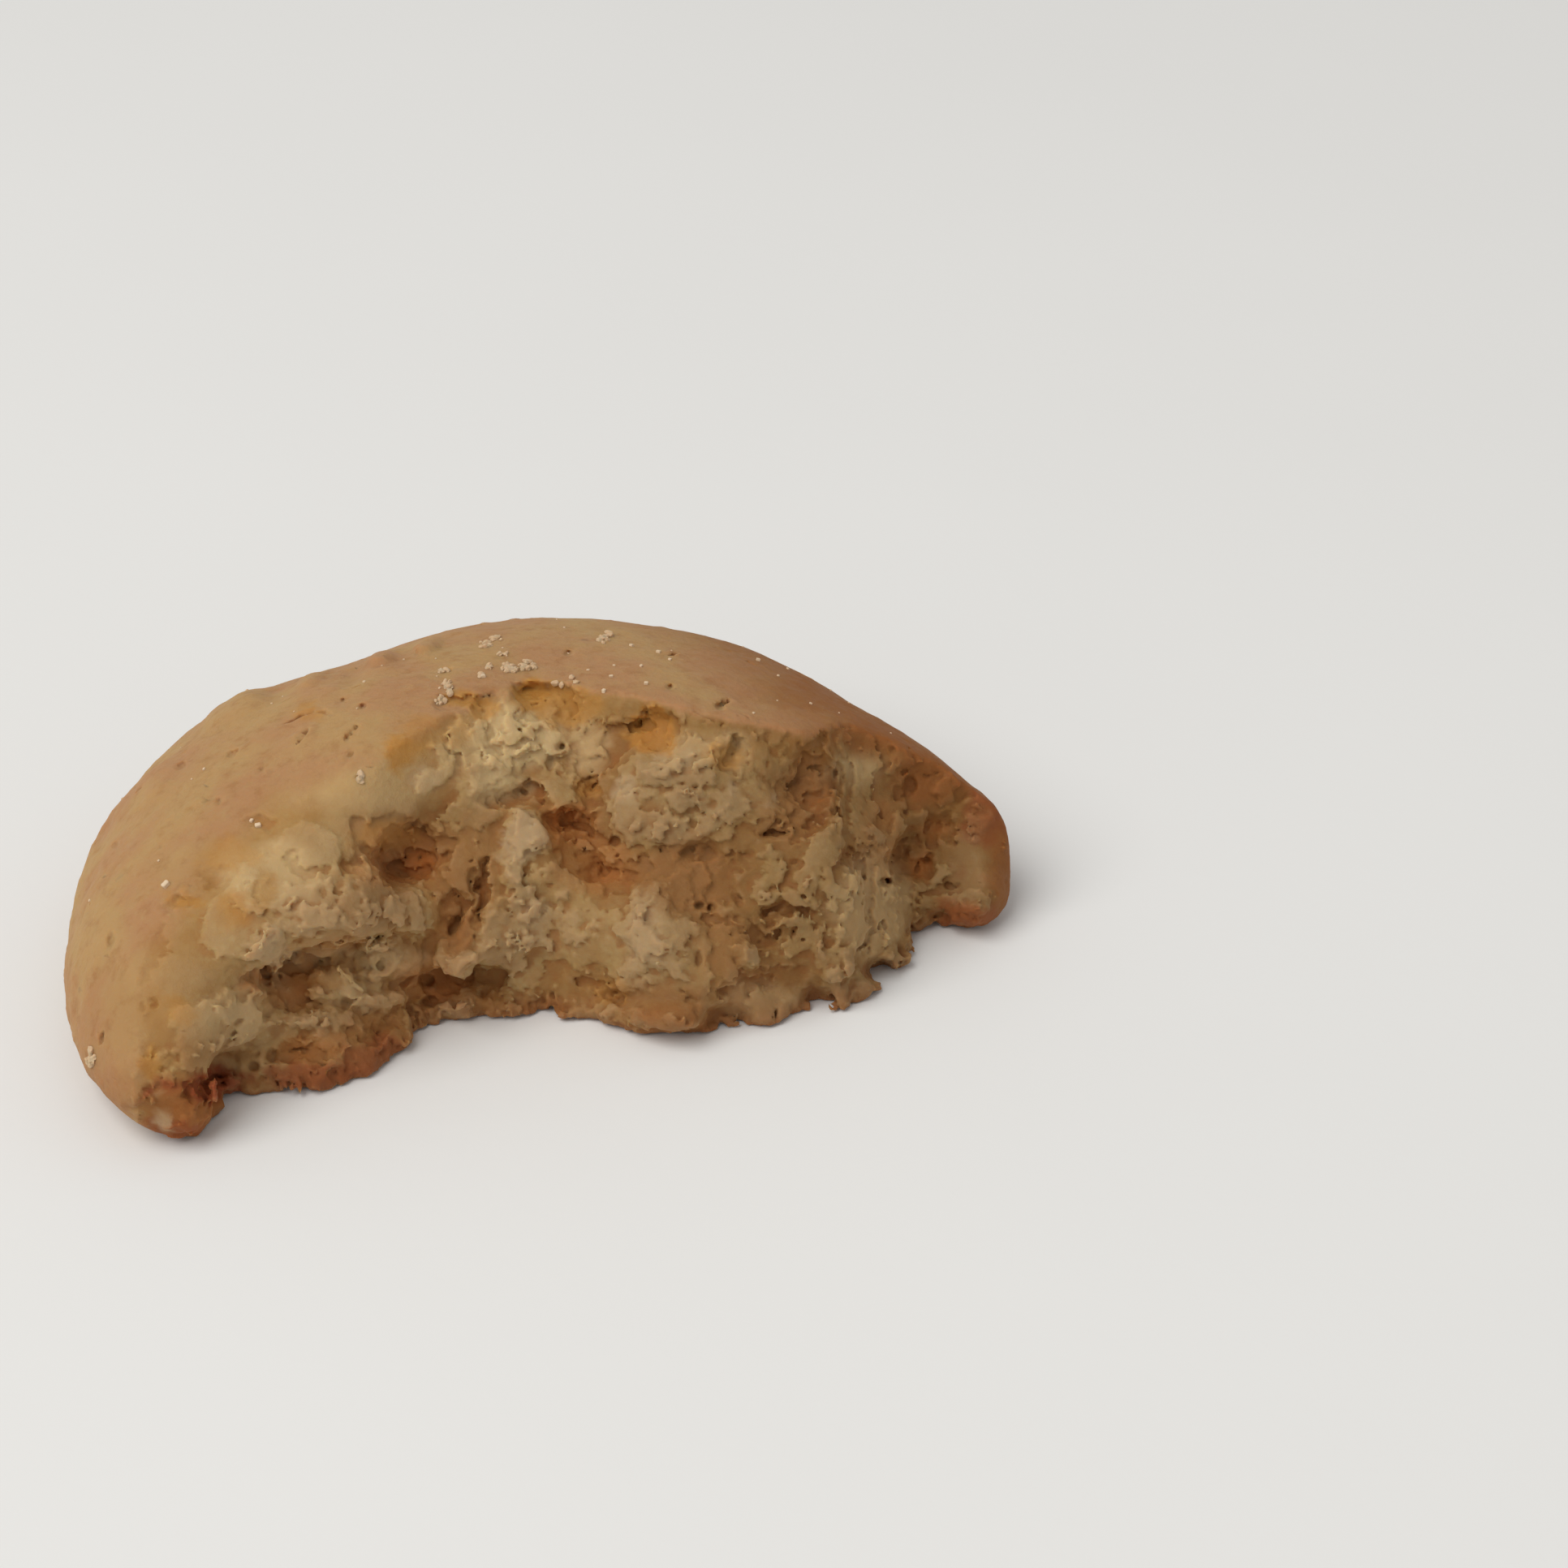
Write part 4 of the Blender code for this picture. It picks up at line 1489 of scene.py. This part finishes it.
def joined_grains(name, spots, shape, flat, rough, draw):
    """One mesh of many grains: each spot is a place, the way out and a size in millimetres."""
    corners, faces = shape
    noise = Noise(SEEDS["grain shapes"])
    all_places = []
    all_faces = []
    for n, (place, out, size) in enumerate(spots):
        own = (corners + GRAIN_SHIFT * n).astype(REAL)
        bent = corners + warp(noise, own, GRAIN_FORMS, GRAIN_OCTAVES, rough, GRAIN_GAIN)
        stretch = np.array((*draw.uniform(*GRAIN_STRETCH, 2), flat * draw.uniform(*GRAIN_FLATTER)))
        grain = (bent * stretch) @ resting_turn(out, draw).T * size / 2.0
        all_places.append(grain + place + out * size * flat * (0.5 - SUNK))
        all_faces.append(faces + n * len(corners))
    made = placed(name, mesh_from(name, np.vstack(all_places), np.vstack(all_faces)))
    made.data.shade_flat()
    return made


def spot_below(view, tree, column, row, size):
    """The place that a pixel shows, the way out there and the size, or None beside the biscuit."""
    place, normal, _ = cast(tree, view.place, view.ray(column, row))
    return None if place is None else (np.array(place), np.array(normal), size)


def loose_crumbs(view, tree):
    draw = np.random.default_rng(SEEDS["loose crumbs"])
    largest, shrinks = CRUMB_SHRINKS
    spots = []
    for column, row, half_width, half_height, count in CLUSTERS.values():
        for _ in range(count):
            turn = draw.uniform(0.0, 2.0 * pi)
            away = draw.uniform(0.0, 1.0) ** 0.5
            across = column + half_width * away * cos(turn)
            down = row + half_height * away * sin(turn)
            size = draw.uniform(*CRUMB_SIZES) * (largest - shrinks * away)
            spots.append(spot_below(view, tree, across, down, size))
    found = [spot for spot in spots if spot]
    return joined_grains("loose_crumbs", found, ball(), CRUMB_FLAT, CRUMB_ROUGH, draw)


def sugar_grains(dome, view, tree):
    draw = np.random.default_rng(SEEDS["sugar"])
    spots = [spot_below(view, tree, *row) for row in SUGARS.values()]
    while len(spots) < SUGAR_COUNT:
        azimuth = draw.uniform(0.0, 2.0 * pi)
        upright = draw.uniform(SUGAR_LOWEST, 1.0)
        flat = (1.0 - upright ** 2) ** 0.5
        ray = np.array((flat * cos(azimuth), flat * sin(azimuth), upright))
        place, normal, _ = cast(tree, dome.centre + FAR_OUT * ray, -ray)
        size = draw.uniform(*SUGAR_SIZES)
        if place is not None and abs(dome.depth(np.array([place], REAL))[0]) < SUGAR_OFF_CRUST:
            spots.append((np.array(place), np.array(normal), size))
    return joined_grains("sugar_grains", spots, block(), SUGAR_FLAT, SUGAR_ROUGH, draw)


# --- Materials ---

CRUMB_PALE = (0.412, 0.274, 0.116)
CRUMB_YELLOW = (0.365, 0.226, 0.078)
CRUMB_TAN = (0.300, 0.152, 0.046)
CRUMB_HOLLOW_SHADE_AND_GRAIN = (0.305, 0.128, 0.036)
CRUMB_DEEP_SHADE = (0.400, 0.140, 0.034)
CRUMB_CREASE_SHADE = (0.320, 0.125, 0.035)
# Real white lumps, and painted light on the highest plates and ridges
CRUMB_WHITE_AND_HIGHLIGHT = (0.430, 0.293, 0.155)
CRUMB_PALE_AND_LIT = (0.600, 0.430, 0.215)
CRUMB_BROWNER = (0.270, 0.125, 0.040)
CRUST_GOLD = (0.420, 0.252, 0.104)
CRUST_TAN = (0.405, 0.214, 0.096)
CRUST_BROWN_AND_SHADE = (0.248, 0.088, 0.021)
AMBER = (0.430, 0.200, 0.040)
CRACK_AMBER_AND_SHADE = (0.160, 0.062, 0.016)
BROWN = (0.430, 0.140, 0.030)
SCORCHED = (0.230, 0.052, 0.016)
BASE_BROWN = (0.250, 0.098, 0.034)
LOOSE_PALE = (0.640, 0.460, 0.290)
LOOSE_TAN = (0.520, 0.340, 0.180)
SUGAR_DULL = (0.620, 0.440, 0.270)
SUGAR_BRIGHT = (0.800, 0.640, 0.450)
FLOOR_TONES = ((0.80, 0.80, 0.79), (0.82, 0.82, 0.81))
# Painted shade: the crumb's colours are multiplied by this towards the right, where the other half of
# the biscuit leaned and shaded it
PAINTED_SHADE_RIGHT = (0.700, 0.660, 0.610)

# Noises: the size of their forms in millimetres, their detail and roughness
TEXTURES = {
    "crumb patches": (3.4, 3.0, 0.55),
    "crumb spots": (1.3, 4.0, 0.60),
    "crust patches": (7.0, 3.0, 0.55),
    "crust freckles": (1.0, 5.0, 0.65),
    "crust pale spots": (0.9, 4.0, 0.60),
    "dough shine": (0.8, 3.0, 0.55),
    "dough coarse bumps": (0.55, 5.0, 0.65),
    "dough fine bumps": (0.12, 3.0, 0.60),
    "loose tone": (0.6, 3.0, 0.55),
    "loose shine": (0.3, 3.0, 0.55),
    "loose bumps": (0.12, 4.0, 0.55),
    "sugar tone": (0.4, 3.0, 0.55),
    "sugar shine": (0.2, 3.0, 0.55),
    "sugar bumps": (0.08, 2.0, 0.55),
    "floor tone": (40.0, 2.0, 0.55),
    "floor bumps": (1.5, 3.0, 0.55),
}
GRAIN_CELLS_SIZE = 0.45
PEBBLE_CELLS_SIZE = 0.40

# How high the bumps drawn from a noise or from cells stand, in millimetres
BUMP_HEIGHTS = {
    "dough coarse bumps": 0.06,
    "dough fine bumps": 0.02,
    "loose bumps": 0.02,
    "sugar bumps": 0.01,
    "floor bumps": 0.01,
}
PEBBLE_BUMPS = 0.03

# How rough the surfaces are: between which two values of the noise that changes, and from what
# roughness to what
SHINES = {
    "dough shine": (0.2, 0.8, 0.60, 0.85),
    "loose shine": (0.2, 0.8, 0.50, 0.75),
    "sugar shine": (0.3, 0.7, 0.35, 0.60),
}

# Tones laid over the crumb and then over the crust, one after another: the value of the source
# from which each comes in and at which it is full, its share there, and the tone
CRUMB_LAYERS = {
    "crumb patches": (0.38, 0.62, 0.60, CRUMB_YELLOW),
    "crumb spots": (0.45, 0.65, 0.40, CRUMB_TAN),
    # The lower plates, the hollows and the deep hollows: painted shade that grows darker the deeper the
    # crumb lies
    "lower plates": (0.58, 0.46, 1.00, CRUMB_TAN),
    "hollows": (0.43, 0.30, 1.00, CRUMB_HOLLOW_SHADE_AND_GRAIN),
    "deep hollows": (0.28, 0.16, 1.00, CRUMB_DEEP_SHADE),
    "grains": (0.15, 0.55, 0.18, CRUMB_HOLLOW_SHADE_AND_GRAIN),
    # The highest plates paler: painted light
    "highest plates": (0.56, 0.80, 0.60, CRUMB_WHITE_AND_HIGHLIGHT),
    # Creases darker as painted shade, ridges paler as painted highlight
    "creases": (0.53, 0.80, 0.60, CRUMB_CREASE_SHADE),
    "ridges": (0.45, 0.15, 0.25, CRUMB_WHITE_AND_HIGHLIGHT),
}
CRUST_LAYERS = {
    "crust patches": (0.40, 0.60, 1.00, CRUST_TAN),
    "crust freckles": (0.48, 0.72, 0.34, CRUST_BROWN_AND_SHADE),
    "crust pale spots": (0.52, 0.72, 0.35, CRUMB_PALE),
    # Deep brown towards the right end: partly browner baking, partly painted shade and red reflection
    # of the other half
    "right": (0.10, 0.75, 0.85, CRUST_BROWN_AND_SHADE),
}
# Where plates stand out, the patches of tan lose strength
TAN_ON_PLATES = (0.62, 0.80, 1.00, 0.35)

# Tones that follow one mask each: the mask's share and the tone
CRUST_NEARBY = {"near_crust": (0.25, AMBER)}
# The bright mask: paler crumb, partly painted light on the upper parts and shoulders
CRUMB_BASE = {"bright": (1.00, CRUMB_PALE_AND_LIT), "base": (0.45, BASE_BROWN)}
STAINS = {
    "amber": (0.85, AMBER),
    # Cracks: their dark amber is partly their own tone, partly painted shade inside them
    "cracks": (0.90, CRACK_AMBER_AND_SHADE),
    # Browned parts: at the right end partly painted shade of the other half
    "browned": (0.90, CRUST_BROWN_AND_SHADE),
    # Red-brown painted shade in the crumb's hollows, and the browned tip
    "brown": (0.90, BROWN),
    # The darkest parts: at the right end partly painted shade
    "scorched": (0.95, SCORCHED),
    "pale": (0.85, CRUMB_WHITE_AND_HIGHLIGHT),
    "underside": (1.00, BASE_BROWN),
}


class Shader:
    """Short names for the nodes that the materials are made of."""

    def __init__(self, name):
        self.material = bpy.data.materials.new(name)
        self.material.use_nodes = True
        self.nodes = self.material.node_tree.nodes
        self.links = self.material.node_tree.links
        self.nodes.clear()
        self.surface = self.nodes.new("ShaderNodeBsdfPrincipled")
        output = self.nodes.new("ShaderNodeOutputMaterial")
        self.links.new(self.surface.outputs["BSDF"], output.inputs["Surface"])
        self.place = self.nodes.new("ShaderNodeTexCoord").outputs["Object"]

    def feed(self, socket, value):
        if isinstance(value, bpy.types.NodeSocket):
            self.links.new(value, socket)
        elif isinstance(value, tuple) and len(value) == 3 and len(socket.default_value) == 4:
            socket.default_value = (*value, 1.0)
        else:
            socket.default_value = value

    def new(self, kind, values):
        """A node with its inputs fed, each by its name or its number."""
        made = self.nodes.new("ShaderNode" + kind)
        for name, value in values.items():
            self.feed(made.inputs[name], value)
        return made

    def dressed(self, values):
        """The finished material, with the surface's inputs fed."""
        for name, value in values.items():
            self.feed(self.surface.inputs[name], value)
        return self.material

    def attribute(self, name):
        found = self.new("Attribute", {})
        found.attribute_name = name
        return found.outputs["Fac"]

    def noise(self, name):
        size_mm, detail, roughness = TEXTURES[name]
        values = {"Scale": 1.0 / (size_mm * MM), "Detail": detail, "Roughness": roughness}
        return self.new("TexNoise", {**values, "Vector": self.place}).outputs["Fac"]

    def cells(self, size_mm):
        values = {"Scale": 1.0 / (size_mm * MM), "Vector": self.place}
        return self.new("TexVoronoi", values).outputs["Distance"]

    def ramp(self, value, low, high, start, end):
        values = {"Value": value, "From Min": low, "From Max": high, "To Min": start, "To Max": end}
        made = self.new("MapRange", values)
        made.interpolation_type = "SMOOTHSTEP"
        return made.outputs["Result"]

    def times(self, first, second):
        made = self.new("Math", {0: first, 1: second})
        made.operation = "MULTIPLY"
        return made.outputs["Value"]

    def mix(self, share, first, second, blend="MIX"):
        made = self.new("Mix", {})
        made.data_type = "RGBA"
        made.blend_type = blend
        inputs = [socket for socket in made.inputs if socket.type == "RGBA"]
        self.feed(made.inputs["Factor"], share)
        self.feed(inputs[0], first)
        self.feed(inputs[1], second)
        return next(socket for socket in made.outputs if socket.type == "RGBA")

    def bump(self, height, distance_mm, normal=None):
        made = self.new("Bump", {"Strength": 1.0, "Distance": distance_mm * MM, "Height": height})
        if normal:
            self.links.new(normal, made.inputs["Normal"])
        return made.outputs["Normal"]

    def bumps(self, name, normal=None):
        return self.bump(self.noise(name), BUMP_HEIGHTS[name], normal)

    def shine(self, name):
        return self.ramp(self.noise(name), *SHINES[name])

    def layered(self, colour, layers, sources):
        """Lays tones over a colour, each where its source says."""
        for name, (low, high, share, tone) in layers.items():
            colour = self.mix(self.ramp(sources[name], low, high, 0.0, share), colour, tone)
        return colour

    def stained(self, colour, stains):
        """Lays tones over a colour, each as strong as its mask."""
        for name, (share, tone) in stains.items():
            colour = self.mix(self.times(self.attribute(name), share), colour, tone)
        return colour


def crumb_colour(made):
    """Pale plates that stand out, over tan and brown hollows, with fine pale grains: by level and by
    crease the tones are painted shade in hollows and creases and painted light on plates and ridges,
    and towards the right the crumb is painted darker as shade.
    """
    stands = made.attribute("stands")
    deep = made.attribute("creases")
    crumb = made.layered(CRUMB_PALE, CRUMB_LAYERS, {
        "crumb patches": made.noise("crumb patches"),
        "crumb spots": made.noise("crumb spots"),
        "lower plates": stands,
        "hollows": stands,
        "deep hollows": stands,
        "grains": made.cells(GRAIN_CELLS_SIZE),
        "highest plates": stands,
        "creases": deep,
        "ridges": deep,
    })
    crumb = made.stained(crumb, CRUST_NEARBY)
    # Painted shade of the other half: the crumb darker towards the right
    crumb = made.mix(made.attribute("shade_right"), crumb, PAINTED_SHADE_RIGHT, "MULTIPLY")
    tan = made.times(made.attribute("tan"), made.ramp(stands, *TAN_ON_PLATES))
    return made.stained(made.mix(tan, crumb, CRUMB_BROWNER), CRUMB_BASE)


def crust_colour(made):
    """Gold and tan patches, browner towards the right end, partly as painted shade and red reflection
    of the other half, with fine browned freckles.
    """
    return made.layered(CRUST_GOLD, CRUST_LAYERS, {
        "crust patches": made.noise("crust patches"),
        "crust freckles": made.noise("crust freckles"),
        "crust pale spots": made.noise("crust pale spots"),
        "right": made.attribute("right"),
    })


def dough_material():
    made = Shader("baked_dough")
    colour = made.mix(made.attribute("crusted"), crumb_colour(made), crust_colour(made))
    pebbles = made.bump(made.cells(PEBBLE_CELLS_SIZE), PEBBLE_BUMPS)
    coarse = made.bumps("dough coarse bumps", pebbles)
    return made.dressed({
        "Base Color": made.stained(colour, STAINS),
        "Roughness": made.shine("dough shine"),
        "Subsurface Weight": 0.50,
        "Subsurface Radius": (1.0, 0.52, 0.26),
        "Subsurface Scale": 1.0 * MM,
        "Specular IOR Level": 0.16,
        "Normal": made.bumps("dough fine bumps", coarse),
    })


def loose_crumb_material():
    made = Shader("loose_crumb")
    return made.dressed({
        "Base Color": made.mix(made.noise("loose tone"), LOOSE_PALE, LOOSE_TAN),
        "Roughness": made.shine("loose shine"),
        "Subsurface Weight": 0.3,
        "Subsurface Radius": (1.0, 0.6, 0.35),
        "Subsurface Scale": 0.3 * MM,
        "Normal": made.bumps("loose bumps"),
    })


def sugar_material():
    made = Shader("sugar")
    return made.dressed({
        "Base Color": made.mix(made.noise("sugar tone"), SUGAR_DULL, SUGAR_BRIGHT),
        "Roughness": made.shine("sugar shine"),
        "Specular IOR Level": 0.30,
        "Normal": made.bumps("sugar bumps"),
    })


def floor_material():
    made = Shader("pale_floor")
    return made.dressed({
        "Base Color": made.mix(made.noise("floor tone"), *FLOOR_TONES),
        "Roughness": 0.9,
        "Specular IOR Level": 0.1,
        "Normal": made.bumps("floor bumps"),
    })


# --- Floor, light and camera ---


def metres(place_mm):
    return Vector([float(n) * MM for n in place_mm])


def floor():
    half = FLOOR_HALF
    mesh = bpy.data.meshes.new("floor")
    corners = [(-half, -half, 0.0), (half, -half, 0.0), (half, half, 0.0), (-half, half, 0.0)]
    mesh.from_pydata(corners, [], [(0, 1, 2, 3)])
    mesh.materials.append(floor_material())
    return placed("floor", mesh)


def key_light():
    """A round soft lamp that stands off to one side of the biscuit and faces it."""
    light = bpy.data.lights.new("key", "AREA")
    light.shape = "DISK"
    light.size = KEY_SIZE
    light.energy = KEY_WATTS
    light.color = KEY_COLOUR
    made = placed("key", light)
    direction = Vector(KEY_DIRECTION).normalized()
    made.location = metres(AXIS) + direction * KEY_DISTANCE
    made.rotation_euler = direction.to_track_quat("Z", "Y").to_euler()


def soft_sky():
    world = bpy.data.worlds.new("soft_light")
    world.use_nodes = True
    sky = world.node_tree.nodes["Background"]
    sky.inputs["Color"].default_value = (*WORLD_COLOUR, 1.0)
    sky.inputs["Strength"].default_value = WORLD_STRENGTH
    bpy.context.scene.world = world


def camera_at(view):
    data = bpy.data.cameras.new("camera")
    data.lens = CAMERA_LENS
    data.sensor_width = SENSOR
    data.clip_start = CLIP_START
    camera = placed("camera", data)
    camera.location = metres(view.place)
    camera.rotation_euler = Vector(view.ahead).to_track_quat("-Z", "Y").to_euler()
    bpy.context.scene.camera = camera
    bpy.context.scene.view_settings.view_transform = "Standard"


tree = tree_of(frame["nodes"][NODE].data)
view = View()
dome = Dome(tree)
face = Break(tree, dome)
made = biscuit(dome, face, Marks(view, tree))
made.data.materials.append(dough_material())
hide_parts(NODE)
skin_tree = tree_of(made.data)
crumbs = loose_crumbs(view, skin_tree)
crumbs.data.materials.append(loose_crumb_material())
sugar = sugar_grains(dome, view, skin_tree)
sugar.data.materials.append(sugar_material())
for piece in (made, crumbs, sugar):
    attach(piece, "root")
soft_sky()
key_light()
camera_at(view)
ground = floor()
